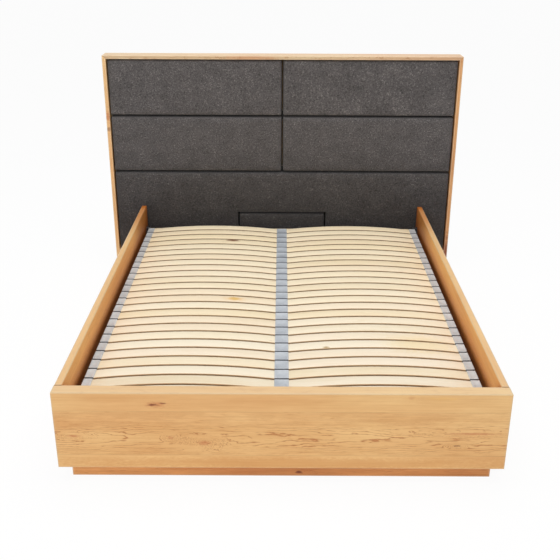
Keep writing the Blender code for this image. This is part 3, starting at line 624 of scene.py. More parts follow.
@dataclass(frozen=True)
class WoolCloth:
    """Mottled grey wool of the headboard, woven from flecked yarn."""

    yarn: float = 0.0024
    deep: Colour = seen(54, 52, 51)
    base: Colour = seen(92, 88, 88)
    fleck: Colour = seen(146, 141, 138)
    lit_above: float = 0.86  # level from which the cloth has no painted shade
    shaded_below: float = 0.26  # level up to which it has the full painted shade
    # how much of its colour the cloth keeps under the full painted shade
    shaded_tone: float = 0.42

    def material(self, name: str, flat: bool = False) -> Material:
        """The material of a panel.

        Args:
            name: The material's name.
            flat: Whether it lies on a flat board and reads the board's own X and Z, in place of the
                attribute "cloth", which is the place on the unrolled cloth.

        Returns:
            The material.
        """
        graph = Graph(name)
        x, _, z = graph.place()
        u, v = (x, z) if flat else graph.carried("cloth")[:2]

        def noise(across: float, up: float, shift: float = 0.0, **settings: float) -> Value:
            """Noise on the flat cloth, with so many swings to a metre each way."""
            return graph.noise((u, v, graph.offset + shift), across, up, 1, **settings)

        bent = noise(40, 40) * 0.0016
        warp, weft = (((part + bent) / self.yarn).wave() for part in (u, v))
        over = ((u / self.yarn / 2).floor() + (v / self.yarn / 2).floor()) / 2
        turn = over.fraction() * 2
        weave = warp * turn + weft * (1 - turn)
        melange = noise(230, 230, detail=3, rough=0.7)
        dashes_up, dashes_across = noise(420, 90, 3), noise(90, 420, 7)
        mottle = noise(130, 130, 11, rough=0.6)
        clouds = noise(14, 14, detail=3)
        fuzz = noise(2600, 2600)
        tone = (0.5 + (melange - 0.5) * 1.3 + (dashes_up - 0.5) * 0.8 + (dashes_across - 0.5) * 0.8
                + (mottle - 0.5) * 1.2 + (clouds - 0.5) * 0.45)
        colour = graph.mix(tone.ramp(0.05, 0.55), self.deep, self.base)
        colour = graph.mix(tone.ramp(0.62, 1.05), colour, self.fleck)
        # painted shade: the cloth is made darker towards the bottom
        lit_share = z.ramp(self.shaded_below, self.lit_above)
        light = self.shaded_tone + lit_share * (1 - self.shaded_tone)
        colour = graph.shaded(colour, (0.82 + weave * 0.22 + fuzz * 0.1) * light)
        graph.surface(colour, 0.93, weave * 0.7 + fuzz * 0.2 + melange * 0.4, 0.0009, 0.6)
        for setting, value in (("Sheen Weight", 0.15), ("Sheen Roughness", 0.6),
                               ("Specular IOR Level", 0.2)):
            graph.shader.inputs[setting].default_value = value
        return graph.material


# The cloth wrapped round the pad boards, made darker than the panels as painted shade in the gaps between
# them.
SHADED_LINING = WoolCloth(deep=seen(30, 29, 29), base=seen(46, 44, 44), fleck=seen(70, 68, 67))


@dataclass(frozen=True)
class Steel:
    """A metal finish of the lifting gear and the screws."""

    name: str
    light: Colour
    dark: Colour
    roughness: float
    metallic: float = 1.0
    cloud: float = 60.0  # clouds to a metre
    grain: float = 900.0
    relief: float = 0.0001

    def material(self, name: str) -> Material:
        """The material, with clouds in its tone and roughness and a fine relief.

        Args:
            name: The rest of its name, after that of the finish.

        Returns:
            The material.
        """
        graph = Graph(f"{self.name}_{name}")
        place = graph.place()
        clouds = graph.noise(place, self.cloud, detail=3)
        rubbed = graph.noise(place, 25, detail=5, rough=0.7).ramp(0.55, 0.7)
        colour = graph.mix(clouds.ramp(0.3, 0.7), self.dark, self.light)
        roughness = self.roughness + (clouds - 0.5) * 0.25 - rubbed * 0.05
        grain = graph.noise(place, self.grain)
        graph.surface(colour, roughness, grain, self.relief, 0.3, self.metallic)
        return graph.material


POWDER_COAT = Steel("powder_coat", seen(46, 46, 48), seen(30, 30, 32), 0.48, 0.0, relief=0.0002)
ZINC = Steel("zinc", seen(214, 216, 218), seen(170, 172, 178), 0.32)
BLACK_ZINC = Steel("black_zinc", seen(74, 74, 78), seen(50, 50, 54), 0.38)
CHROME = Steel("chrome", seen(232, 233, 235), seen(214, 216, 220), 0.10, cloud=20, relief=0.00002)


class Bench:
    """Blender's modelling tools, used as by hand on one object at a time."""

    @staticmethod
    def take(obj: Object) -> None:
        """Selects one object and no other.

        Args:
            obj: The object.
        """
        bpy.ops.object.select_all(action="DESELECT")
        obj.select_set(True)
        bpy.context.view_layer.objects.active = obj

    @staticmethod
    def settle(obj: Object, name: str, scale: Sequence[float] | None = None) -> Object:
        """Scales and names an object, and puts its shift, turn and scale into its mesh.

        Args:
            obj: The object.
            name: Its new name.
            scale: Its scale, if it gets one.

        Returns:
            The object.
        """
        if scale:
            obj.scale = scale
        Bench.take(obj)
        bpy.ops.object.transform_apply(location=True, rotation=True, scale=True)
        obj.name = name
        obj.data.name = name
        return obj

    @staticmethod
    def block(name: str, low: Sequence[float], high: Sequence[float]) -> Object:
        """A block between two corners, to start a piece from."""
        bpy.ops.mesh.primitive_cube_add(size=1, location=(Vector(low) + Vector(high)) / 2)
        return Bench.settle(bpy.context.object, name, Vector(high) - Vector(low))

    @staticmethod
    @contextmanager
    def editing(obj: Object) -> Iterator[None]:
        """Edit mode on one object, with everything selected.

        Args:
            obj: The object.

        Returns:
            A context that is left in object mode.
        """
        Bench.take(obj)
        bpy.ops.object.mode_set(mode="EDIT")
        bpy.ops.mesh.select_all(action="SELECT")
        yield
        bpy.ops.object.mode_set(mode="OBJECT")

    @staticmethod
    def pick(obj: Object, element: Element, test: Test) -> None:
        """Selects in edit mode the edges or faces that pass a test, and no others.

        Args:
            obj: The object in edit mode.
            element: Edges or faces.
            test: The test.
        """
        bpy.ops.mesh.select_mode(type=element.value)
        bpy.ops.mesh.select_all(action="DESELECT")
        bm = bmesh.from_edit_mesh(obj.data)
        for item in bm.edges if element is Element.EDGE else bm.faces:
            if test(item):
                item.select_set(True)
        bm.select_flush_mode()
        bmesh.update_edit_mesh(obj.data)

    @staticmethod
    def pull(y: float, x: float = 0.0) -> None:
        """Draws new faces out of what is selected in edit mode, along Y or X."""
        bpy.ops.mesh.extrude_region_move(TRANSFORM_OT_translate={"value": (x, y, 0)})

    @staticmethod
    def apply(obj: Object, kind: str, **settings: object) -> None:
        """Adds a modifier with these settings and applies it.

        Args:
            obj: The object.
            kind: The modifier's type.
            settings: Its settings.
        """
        Bench.take(obj)
        modifier = obj.modifiers.new(kind.lower(), kind)
        for name, value in settings.items():
            setattr(modifier, name, value)
        bpy.ops.object.modifier_apply(modifier=modifier.name)

    @staticmethod
    def repeat(obj: Object, count: int, pitch: float) -> None:
        """Makes a row of so many along Y, with smooth shading.

        Args:
            obj: The first of the row.
            count: How many there are.
            pitch: From one to the next.
        """
        Bench.apply(obj, "ARRAY", count=count, use_relative_offset=False,
                    use_constant_offset=True, constant_offset_displace=(0, pitch, 0))
        Bench.soften(obj)

    @staticmethod
    def soften(obj: Object, degrees: float = 35) -> None:
        """Smooth shading, with edges sharper than this kept."""
        Bench.take(obj)
        bpy.ops.object.shade_smooth_by_angle(angle=radians(degrees))

    @staticmethod
    def join(pieces: Sequence[Object], name: str) -> Object:
        """Makes one object of several.

        Args:
            pieces: The objects.
            name: The name of the new one.

        Returns:
            The new object.
        """
        Bench.take(pieces[0])
        for piece in pieces[1:]:
            piece.select_set(True)
        bpy.ops.object.join()
        return Bench.settle(bpy.context.object, name)


def finish_piece(obj: Object, body: Body, material: Material,
                 replaced: Sequence[str] = ()) -> None:
    """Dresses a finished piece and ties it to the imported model.

    Args:
        obj: The piece.
        body: The body that it rides on.
        material: Its material.
        replaced: The nodes that it stands for.
    """
    obj.data.materials.clear()
    obj.data.materials.append(material)
    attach(obj, body.value)
    if replaced:
        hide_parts(*replaced)
    LOG.info("%s: %d faces on %s", obj.name, len(obj.data.polygons), body.value)


def carry(obj: Object, attribute: str, worth: Callable[[Vector], Sequence[float]]) -> None:
    """Stores a vector on each vertex of a mesh, for its material.

    Args:
        obj: The piece.
        attribute: The attribute's name.
        worth: Works out the vector of a place.
    """
    layer = obj.data.attributes.new(attribute, "FLOAT_VECTOR", "POINT")
    for i, vertex in enumerate(obj.data.vertices):
        layer.data[i].vector = worth(vertex.co)


@dataclass
class SlatBase:
    """The two columns of bowed slats and the plastic holders of their ends."""

    count: int = 26
    slat_width: float = 0.064
    thickness: float = 0.008
    crown: float = 0.024  # rise of a slat's middle above its ends
    inner_end: float = 0.005  # from the middle of the bed to the ends of a slat
    outer_end: float = 0.775
    edge_round: float = 0.0028
    arc_steps: int = 18
    holder_base: float = 0.0023  # plastic under the end of a slat
    holder_lip: float = 0.00125  # plastic beside a slat, on both sides
    holder_round: float = 0.0009
    holder_rim: float = 0.004  # flat rim round the shallow dish in a holder's top
    dish: tuple[float, float] = (0.0006, -0.0004)  # width of the dish's slope, and its depth
    pocket_grip: float = 0.0002  # how far the sides of a pocket reach into the slat's edges
    weld: float = 1e-5  # points nearer than this become one
    side_holder: float = 0.036
    centre_holder: float = 0.058
    side_pocket: float = 0.0183
    centre_pocket: float = 0.0242

    def __post_init__(self) -> None:
        """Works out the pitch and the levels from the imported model."""
        low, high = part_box("slats_right")
        self.pitch = (high.y - low.y) / self.count
        self.first = low.y + (self.pitch - self.slat_width) / 2
        self.seat = low.z
        self.outside = high.x
        self.holder_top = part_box("centre_slat_holders")[1].z
        chord = self.outer_end - self.inner_end
        self.radius = (chord**2 / 4 + self.crown**2) / (2 * self.crown)
        self.half_turn = asin(chord / 2 / self.radius)
        self.middle = (self.inner_end + self.outer_end) / 2
        self.hub = self.seat + self.holder_base + self.thickness + self.crown - self.radius

    def build(self) -> None:
        """Builds and dresses the slats and holders."""
        left_knots = (Knot(-0.277, 0.694, 0.019, stretch=2.2, colour=seen(118, 52, 18)),
                      Knot(-0.225, -0.082, 0.024, 0.7, stretch=2.6, colour=seen(240, 192, 132)),
                      Knot(-0.225, -0.080, 0.020, 0.9, stretch=1.7, colour=seen(224, 182, 98)))
        right_knots = (Knot(0.190, -0.563, 0.012, 0.9, stretch=1.5, colour=seen(168, 136, 76)),
                       Knot(0.600, -0.530, 0.100, 0.5, stretch=1.8, colour=seen(240, 212, 148)))
        for side, sign, knots in (("left", -1, left_knots), ("right", 1, right_knots)):
            slats = self._slats(f"bowed_slats_{side}", sign)
            material = SlatVeneer().material(f"slat_veneer_{side}", knots)
            finish_piece(slats, Body.BASE, material, [f"slats_{side}"])
            reach = sorted((sign * (self.outside - self.side_holder), sign * self.outside))
            holders = self._holders(f"side_holders_{side}", reach, [-sign], self.side_pocket)
            finish_piece(holders, Body.BASE, LIT_SIDE_PLASTIC.material(holders.name))
        half = self.centre_holder / 2
        holders = self._holders("centre_holders", (-half, half), (-1, 1), self.centre_pocket)
        finish_piece(holders, Body.BASE, MouldedPlastic().material(holders.name),
                     ["centre_slat_holders"])

    def _slats(self, name: str, sign: int) -> Object:
        """One column: a rounded section spun about the far-off centre of the slat's arc, then copied.

        Args:
            name: The piece's name.
            sign: -1 for the left column, 1 for the right.

        Returns:
            The column as one object.
        """
        centre = Vector((sign * self.middle, self.first + self.slat_width / 2, self.hub))
        turn = -sign * self.half_turn
        section = centre + Matrix.Rotation(turn, 3, "Y") @ Vector((0, 0, self.radius - self.thickness / 2))
        bpy.ops.mesh.primitive_plane_add(size=1, location=section, rotation=(0, turn + pi / 2, 0))
        obj = Bench.settle(bpy.context.object, name, (self.thickness, self.slat_width, 1))
        with Bench.editing(obj):
            bpy.ops.mesh.bevel(offset=self.edge_round, segments=3, affect="VERTICES")
            bpy.ops.mesh.select_all(action="SELECT")
            bpy.ops.mesh.spin(steps=self.arc_steps, angle=2 * turn, center=centre, axis=(0, 1, 0))
            Bench.pick(obj, Element.EDGE, lambda edge: edge.is_boundary)
            bpy.ops.mesh.edge_face_add()
            bpy.ops.mesh.select_all(action="SELECT")
            bpy.ops.mesh.remove_doubles(threshold=self.weld)
            bpy.ops.mesh.normals_make_consistent(inside=False)
        Bench.repeat(obj, self.count, self.pitch)
        carry(obj, "grain", lambda co: self._on_slat(co, sign))
        carry(obj, "slat", lambda co: (self._number(co), sign, 0))
        return obj

    def _number(self, co: Vector) -> int:
        """Which slat of its column a point is on."""
        return int((co.y - self.first + (self.pitch - self.slat_width) / 2) / self.pitch)

    def _on_slat(self, co: Vector, sign: int) -> tuple[float, float, float]:
        """Unrolls a slat.

        Args:
            co: A point on it.
            sign: -1 for the left column, 1 for the right.

        Returns:
            Place along the slat's arc, across it and down into it.
        """
        x, z = co.x - sign * self.middle, co.z - self.hub
        across = co.y - self.first - self._number(co) * self.pitch
        return atan2(x, z) * self.radius, across, self.radius - hypot(x, z)

    def _holders(self, name: str, reach: Sequence[float], open_to: Sequence[int],
                 pocket: float) -> Object:
        """A row of holders, each with a pocket for the end of a slat on its open sides.

        Args:
            name: The piece's name.
            reach: Its lowest and highest X.
            open_to: -1, 1 or both: the sides that it is open to, along X.
            pocket: Depth of a pocket.

        Returns:
            The row as one object.
        """
        low = (reach[0], self.first - self.holder_lip, self.seat)
        high = (reach[1], self.first + self.slat_width + self.holder_lip, self.holder_top)
        obj = Bench.block(name, low, high)
        with Bench.editing(obj):
            bpy.ops.mesh.bevel(offset=self.holder_round, segments=2, affect="EDGES")
            Bench.pick(obj, Element.FACE, lambda face: face.normal.z > 0.99)
            bpy.ops.mesh.inset(thickness=self.holder_rim, depth=0)
            bpy.ops.mesh.inset(thickness=self.dish[0], depth=self.dish[1])
            for way in open_to:
                Bench.pick(obj, Element.FACE, lambda face: face.normal.x * way > 0.99)
                wall = self.holder_lip - self.holder_round + self.pocket_grip
                bpy.ops.mesh.inset(thickness=wall, depth=0)
                Bench.pull(0, x=-way * pocket)
        Bench.repeat(obj, self.count, self.pitch)
        return obj


@dataclass
class PaddedHeadboard:
    """The padded panels: cloth over foam on a board, blown up a little by simulated air."""

    cell: float = 0.016  # size of the cloth's cells before smoothing
    fewest_cells: int = 8
    gap: float = 0.0016  # from the cloth out to the side of its solid
    front_room: float = 0.0022  # from the solid's front back to the unblown cloth
    roll: float = 0.011  # radius of the cloth's front edge
    roll_steps: int = 3
    notch_room: float = 0.004  # between the cloth of two panels, one of which goes round the other
    fold_room: float = 0.004  # depth of cloth at the front that counts as flat
    swell: float = 0.0026  # most that a point of the cloth may move
    front_limit: float = 1.0092  # Y that the cloth stays behind
    frames: int = 20  # length of the simulation
    air: float = 4.0  # pressure in the cloth
    fill: float = 0.9

    def build(self) -> None:
        """Builds and dresses all panels, and covers the boards behind them."""
        panels = ("upper_left", "upper_right", "middle_left", "middle_right", "insert", "lower")
        for part in panels:
            low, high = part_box(f"pad_{part}")
            around = "pad_insert" if part == "lower" else None
            panel = self._panel(f"padded_panel_{part}", low, high, around)
            finish_piece(panel, Body.BED, WoolCloth().material(f"wool_pad_{part}"), [f"pad_{part}"])
            if part != "insert":
                board = f"pad_board_{part}"
                # partly the wrapped cloth, partly painted shade in the gaps between panels
                dress_node(board, SHADED_LINING.material(f"wool_{board}", flat=True))

    def _panel(self, name: str, low: Vector, high: Vector, around: str | None) -> Object:
        """One padded panel.

        Args:
            name: The piece's name.
            low: Lowest corner of the room that it has.
            high: Highest corner.
            around: A node at its lower edge that it goes round, if any.

        Returns:
            The finished panel.
        """
        front, back = low.y + self.front_room, high.y
        size = (high.x - low.x - 2 * self.gap, high.z - low.z - 2 * self.gap)
        cells = [max(round(side / self.cell), self.fewest_cells) for side in size]
        bpy.ops.mesh.primitive_grid_add(
            x_subdivisions=cells[0], y_subdivisions=cells[1], size=1, rotation=(pi / 2, 0, 0),
            location=((low.x + high.x) / 2, front + self.roll, (low.z + high.z) / 2))
        obj = Bench.settle(bpy.context.object, name, (*size, 1))
        if around:
            self._cut_notch(obj, around)
        with Bench.editing(obj):
            for inward, forward in self._roll_steps():
                bpy.ops.mesh.inset(thickness=inward, depth=forward)
            Bench.pick(obj, Element.EDGE, lambda edge: edge.is_boundary)
            for _ in range(2):
                Bench.pull((back - front - self.roll) / 2)
            bpy.ops.mesh.edge_face_add()
            bpy.ops.mesh.select_all(action="SELECT")
            bpy.ops.mesh.normals_make_consistent(inside=False)
        self._blow_up(obj, back)
        with Bench.editing(obj):
            Bench.pick(obj, Element.FACE, lambda face: face.normal.y > 0.9)
            bpy.ops.mesh.delete(type="ONLY_FACE")
        Bench.apply(obj, "SUBSURF", levels=1, render_levels=1)
        with Bench.editing(obj):
            Bench.pick(obj, Element.EDGE, lambda edge: edge.is_boundary)
            bpy.ops.mesh.edge_face_add()
        Bench.soften(obj, 60)
        self._unroll(obj, low, high, front)
        return obj

    def _roll_steps(self) -> Iterator[tuple[float, float]]:
        """The rounded edge, step by step.

        Yields:
            How far the step goes inward, and how far forward.
        """
        for i in range(self.roll_steps):
            start, end = (step / self.roll_steps * pi / 2 for step in (i, i + 1))
            yield self.roll * (cos(start) - cos(end)), self.roll * (sin(end) - sin(start))

    def _cut_notch(self, obj: Object, around: str) -> None:
        """Cuts the cloth away round another panel at its lower edge.

        Args:
            obj: The cloth.
            around: The node of the other panel.
        """
        low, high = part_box(around)
        room = self.gap + self.notch_room
        left, right, sill = low.x - room, high.x + room, high.z + room
        with Bench.editing(obj):
            for point, normal in (((left, 0, 0), (1, 0, 0)), ((right, 0, 0), (1, 0, 0)),
                                  ((0, 0, sill), (0, 0, 1))):
                bpy.ops.mesh.select_all(action="SELECT")
                bpy.ops.mesh.bisect(plane_co=point, plane_no=normal)
            Bench.pick(obj, Element.FACE, lambda face: left < face.calc_center_median().x < right
                       and face.calc_center_median().z < sill)
            bpy.ops.mesh.delete(type="FACE")

    def _blow_up(self, obj: Object, back: float) -> None:
        """Swells the cloth with air while its back edge stays on the board.

        Args:
            obj: The cloth.
            back: Y of the board.
        """
        rest = [vertex.co.copy() for vertex in obj.data.vertices]
        pins = obj.vertex_groups.new(name="stapled")
        pins.add([i for i, co in enumerate(rest) if co.y > back - 1e-4], 1, "REPLACE")
        cloth = obj.modifiers.new("air", "CLOTH")
        settings = cloth.settings
        settings.vertex_group_mass = "stapled"
        settings.use_pressure = True
        settings.uniform_pressure_force = self.air
        settings.effector_weights.gravity = 0
        cloth.point_cache.frame_end = self.frames
        scene = bpy.context.scene
        for step in range(1, self.frames + 1):
            scene.frame_set(step)
        blown = obj.evaluated_get(bpy.context.evaluated_depsgraph_get()).data
        places = [vertex.co.copy() for vertex in blown.vertices]
        obj.modifiers.remove(cloth)
        obj.vertex_groups.remove(pins)
        for vertex, start, end in zip(obj.data.vertices, rest, places):
            move = end - start
            if move.length > self.swell:
                move *= self.swell / move.length
            vertex.co = start + move
            vertex.co.y = max(vertex.co.y, self.front_limit)
        scene.frame_set(1)

    def _unroll(self, obj: Object, low: Vector, high: Vector, front: float) -> None:
        """Stores where each point lies on the flat cloth, with the sides folded out.

        Args:
            obj: The panel.
            low: Lowest corner of its room.
            high: Highest corner.
            front: Y of its front.
        """
        def flat(co: Vector) -> tuple[float, float, float]:
            """Unfolds a point.

            Args:
                co: The point.

            Returns:
                Its X and level on the flat cloth, and 0.
            """
            ends = {(-1, 0): co.x - low.x, (1, 0): high.x - co.x, (0, -1): co.z - low.z,
                    (0, 1): high.z - co.z}
            way = min(ends, key=lambda key: ends[key])
            fold = max(co.y - front - self.fold_room, 0)
            return co.x + way[0] * fold, co.z + way[1] * fold, 0

        carry(obj, "cloth", flat)


Seat = tuple[Sequence[float], Sequence[float]]  # where a screw sits, and where its head faces


@dataclass
class Screws:
    """Cross-headed screws. One head is modelled for each group, and each place gets a copy."""

    radius: float = 0.004
    height: float = 0.0022
    sides: int = 20
    crown: float = 0.55  # height of the head's rounded part, to the height
    cross: tuple[float, float] = (0.55, 0.1)  # half the length and width of an arm, to the radius
    sunk: tuple[float, float] = (0.45, 1.5)  # bottom of the cross and top of its cutter, to the height

    def group(self, name: str, places: Sequence[Seat], body: Body) -> None:
        """Builds the screws of one group.

        Args:
            name: The piece's name.
            places: For each screw, its seat and the direction that its head faces.
            body: What they ride on.
        """
        first = self._head()
        copies = []
        for seat, facing in places:
            screw = first.copy()
            screw.data = first.data.copy()
            bpy.context.scene.collection.objects.link(screw)
            turn = Vector(facing).to_track_quat("Z", "Y").to_matrix().to_4x4()
            screw.matrix_world = Matrix.Translation(Vector(seat)) @ turn
            copies.append(screw)
        bpy.data.objects.remove(first)
        obj = Bench.join(copies, name)
        Bench.soften(obj)
        finish_piece(obj, body, ZINC.material(name))

    def _head(self) -> Object:
        """One head, standing on the origin and facing up, with a cross sunk in.

        Returns:
            The head.
        """
        bpy.ops.mesh.primitive_cylinder_add(vertices=self.sides, radius=self.radius,
                                            depth=self.height, location=(0, 0, self.height / 2))
        obj = bpy.context.object
        with Bench.editing(obj):
            Bench.pick(obj, Element.EDGE, lambda edge: all(corner.co.z > 0 for corner in edge.verts))
            bpy.ops.mesh.bevel(offset=self.height * self.crown, segments=3, affect="EDGES")
        Bench.settle(obj, "screw")
        arm, half = (self.radius * share for share in self.cross)
        low, high = (self.height * share for share in self.sunk)
        for x, y in ((arm, half), (half, arm)):
            cutter = Bench.block("cross arm", (-x, -y, low), (x, y, high))
            Bench.apply(obj, "BOOLEAN", operation="DIFFERENCE", solver="EXACT", object=cutter)
            bpy.data.objects.remove(cutter)
        return obj


@dataclass
class Studio:
    """Pale floor, white surroundings, soft lamps, and a camera as in the photograph."""

    image_size: float = 560.0
    focal_length: float = 823.9  # in pixels of the image
    optical_centre: float = 258.71  # row of the image that the camera looks at
    place: tuple[float, float, float] = (-0.0054, -3.681, 1.975)
    pitch: float = 22.3175
    yaw: float = -0.058
    roll: float = 0.2324
    sensor: float = 36.0
    paper: Colour = (0.97, 0.97, 0.97, 1.0)
    white: Colour = (1.0, 1.0, 1.0, 1.0)
    floor_glow: float = 0.94  # how little of the bed's shadow the floor keeps

    def build(self) -> None:
        """Builds all of it."""
        self._camera()
        self._floor()
        self._world()
        self._lamp("overhead lamp", (0, -0.2, 4.1), (0, 0, 0), size=3.4, power=98)
        self._lamp("front lamp", (-1.8, -5.8, 3.2), (0, 0, 0.4), size=3.2, power=74)
        bpy.context.scene.view_settings.view_transform = "Standard"

    def _camera(self) -> None:
        """Makes the camera at the fitted place and angles."""
        data = bpy.data.cameras.new("camera")
        data.sensor_width = self.sensor
        data.lens = self.focal_length / self.image_size * self.sensor
        data.shift_y = (self.optical_centre - self.image_size / 2) / self.image_size
        camera = bpy.data.objects.new("camera", data)
        bpy.context.scene.collection.objects.link(camera)
        camera.matrix_world = Matrix.Translation(Vector(self.place))
        for degrees, axis in ((-self.yaw, "Z"), (90 - self.pitch, "X"), (self.roll, "Z")):
            camera.matrix_world @= Matrix.Rotation(radians(degrees), 4, axis)
        bpy.context.scene.camera = camera

    @staticmethod
    def _looked_at(graph: Graph, *rays: str) -> Value:
        """Tells what the camera sees from what only lights the scene.

        Args:
            graph: The graph that it is for.
            rays: Other kinds of ray that count as seeing.

        Returns:
            1 for what is seen, and 0 for the rest.
        """
        path = graph.node("LightPath")
        value = Value(graph, path.outputs["Is Camera Ray"])
        for ray in rays:
            value = value.most(Value(graph, path.outputs[f"Is {ray} Ray"]))
        return value

    def _floor(self) -> None:
        """A white floor that keeps a faint shadow of the bed."""
        bpy.ops.mesh.primitive_plane_add(size=40, location=(0, 0, 0))
        floor = bpy.context.object
        floor.name = "floor"
        graph = Graph("floor")
        share = self._looked_at(graph, "Glossy", "Transmission") * self.floor_glow
        paper = graph.read("BsdfDiffuse", 0, inputs={"Color": self.paper})
        glow = graph.read("Emission", 0, inputs={"Color": self.white, "Strength": 1.0})
        both = graph.read("MixShader", 0, inputs={0: share, 1: paper, 2: glow})
        graph.feed(graph.tree.nodes["Material Output"].inputs["Surface"], both)
        floor.data.materials.append(graph.material)

    def _world(self) -> None:
        """White surroundings for the camera, and plain soft light for the rest."""
        world = bpy.data.worlds.new("surroundings")
        bpy.context.scene.world = world
        graph = Graph("surroundings", world)
        graph.feed(graph.shader.inputs["Color"], self.white)
        graph.feed(graph.shader.inputs["Strength"], self._looked_at(graph, "Glossy") * 0.5 + 0.5)

    @staticmethod
    def _lamp(name: str, place: Sequence[float], target: Sequence[float], size: float,
              power: float) -> None:
        """A square soft lamp at a place, aimed at a target.

        Args:
            name: Its name.
            place: Its centre.
            target: The place that it faces.
            size: Its side.
            power: Its power in watts.
        """
        data = bpy.data.lights.new(name, "AREA")
        data.size = size
        data.energy = power
        lamp = bpy.data.objects.new(name, data)
        bpy.context.scene.collection.objects.link(lamp)
        lamp.location = place
        lamp.rotation_euler = (Vector(target) - Vector(place)).to_track_quat("-Z", "Y").to_euler()


@dataclass
class WoodenParts:
    """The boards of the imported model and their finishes."""

    footboard_joint: float = 0.123  # level of the glue line between its lower two strips

    def build(self) -> None:
        """Dresses every board."""
        OAK.dress("footboard", Axis.X, Axis.Z, self._footboard_knots(), self.footboard_joint, wild=0)
        for side in ("left", "right"):
            RAIL_OAK.dress(f"side_rail_{side}", Axis.Y, Axis.Z, joint=self.footboard_joint, wild=0)
            PINE.dress(f"corner_block_{side}", Axis.Z, Axis.X)
        knots = (Knot(0.856, 1.012, 0.008, 0.7), Knot(0.93, 1.006, 0.006, 0.8, stretch=6, colour=REDDISH))
        STILE_OAK.dress("headboard_stile_left", Axis.Z, Axis.Y, knots)
        # a darker patch at the stile's lower end
        dark_lower_end = Knot(0.06, 1.0, 0.05, 1.0, stretch=3.6, colour=seen(130, 56, 30), swirl=0.0)
        DARK_OAK.dress("headboard_stile_right", Axis.Z, Axis.Y, (dark_lower_end,))
        streaks = (Knot(-0.175, 1.006, 0.014, 0.45, stretch=11, colour=REDDISH, swirl=2.0),
                   Knot(0.52, 1.03, 0.012, 0.4, stretch=14, colour=REDDISH, swirl=2.0))
        HEAD_OAK.dress("headboard_top_board", Axis.X, Axis.Y, streaks)
        PLINTH_OAK.dress("plinth_front", Axis.X, Axis.Z, (Knot(0.068, 0.018, 0.008),))
        BIRCH_PLY.dress("frame_centre_bar", Axis.Y, Axis.X)
        for timber, grain, nodes in self._plain_boards():
            for node in nodes:
                timber.dress(node, grain, Axis.Z)
        for node in ("floor_panel_left", "floor_panel_right", "headboard_back_panel"):
            Hardboard().dress(node)
        LOG.info("boards dressed")

    @staticmethod
    def _plain_boards() -> tuple[tuple[Timber, Axis, Sequence[str]], ...]:
        """Lists the boards that need no knots and lie with their wide face upright.

        Returns:
            Rows of a timber, the axis of the grain and the boards.
        """
        return (
            (OAK, Axis.X, ("headboard_lower_board",)),
            (PLINTH_OAK, Axis.Y, ("plinth_left", "plinth_right")),
            (PINE, Axis.X, ("plinth_back", "head_cross_rail", "rest_batten_foot")),
            (PINE, Axis.Y, ("plinth_middle", "floor_batten_left", "floor_batten_right",
                            "rest_batten_left", "rest_batten_right")),
            # painted shade: the battens seen through the gaps between the pads
            (SHADE_BLACK_PINE, Axis.X, ("headboard_batten_upper", "headboard_batten_lower")),
            (BIRCH_PLY, Axis.X, ("frame_foot_bar", "frame_head_bar")),
            (BIRCH_PLY, Axis.Y, ("frame_side_bar_left", "frame_side_bar_right")))

    @staticmethod
    def _footboard_knots() -> tuple[Knot, ...]:
        """Lists the footboard's knots and streaks.

        Returns:
            The knots, each by its X and its level.
        """
        return (
            Knot(0.1, 0.088, 0.030, 0.45, stretch=42, colour=ORANGE, swirl=0.0),
            Knot(-0.769, 0.205, 0.006, 0.7, stretch=5, colour=REDDISH),
            Knot(-0.46, 0.342, 0.015, 0.55, stretch=3.0, colour=REDDISH),
            Knot(-0.4685, 0.3415, 0.0052, 1.0, stretch=4.2, swirl=0.0),
            Knot(-0.435, 0.348, 0.0036, 0.8, stretch=4, swirl=0.0),
            Knot(-0.41, 0.200, 0.008, 0.5, stretch=1.6, colour=REDDISH),
            Knot(-0.288, 0.177, 0.012, 0.6, stretch=2.6, colour=REDDISH, swirl=9.0),
            Knot(0.473, 0.375, 0.010, 0.3, stretch=1.2, colour=REDDISH),
            Knot(0.653, 0.169, 0.004, 0.7, stretch=4),
            Knot(0.59, 0.372, 0.008, 0.5, stretch=9, colour=YELLOWISH, swirl=0.0),
            Knot(0.708, 0.222, 0.006, 0.6, stretch=18, colour=REDDISH, swirl=3.0))


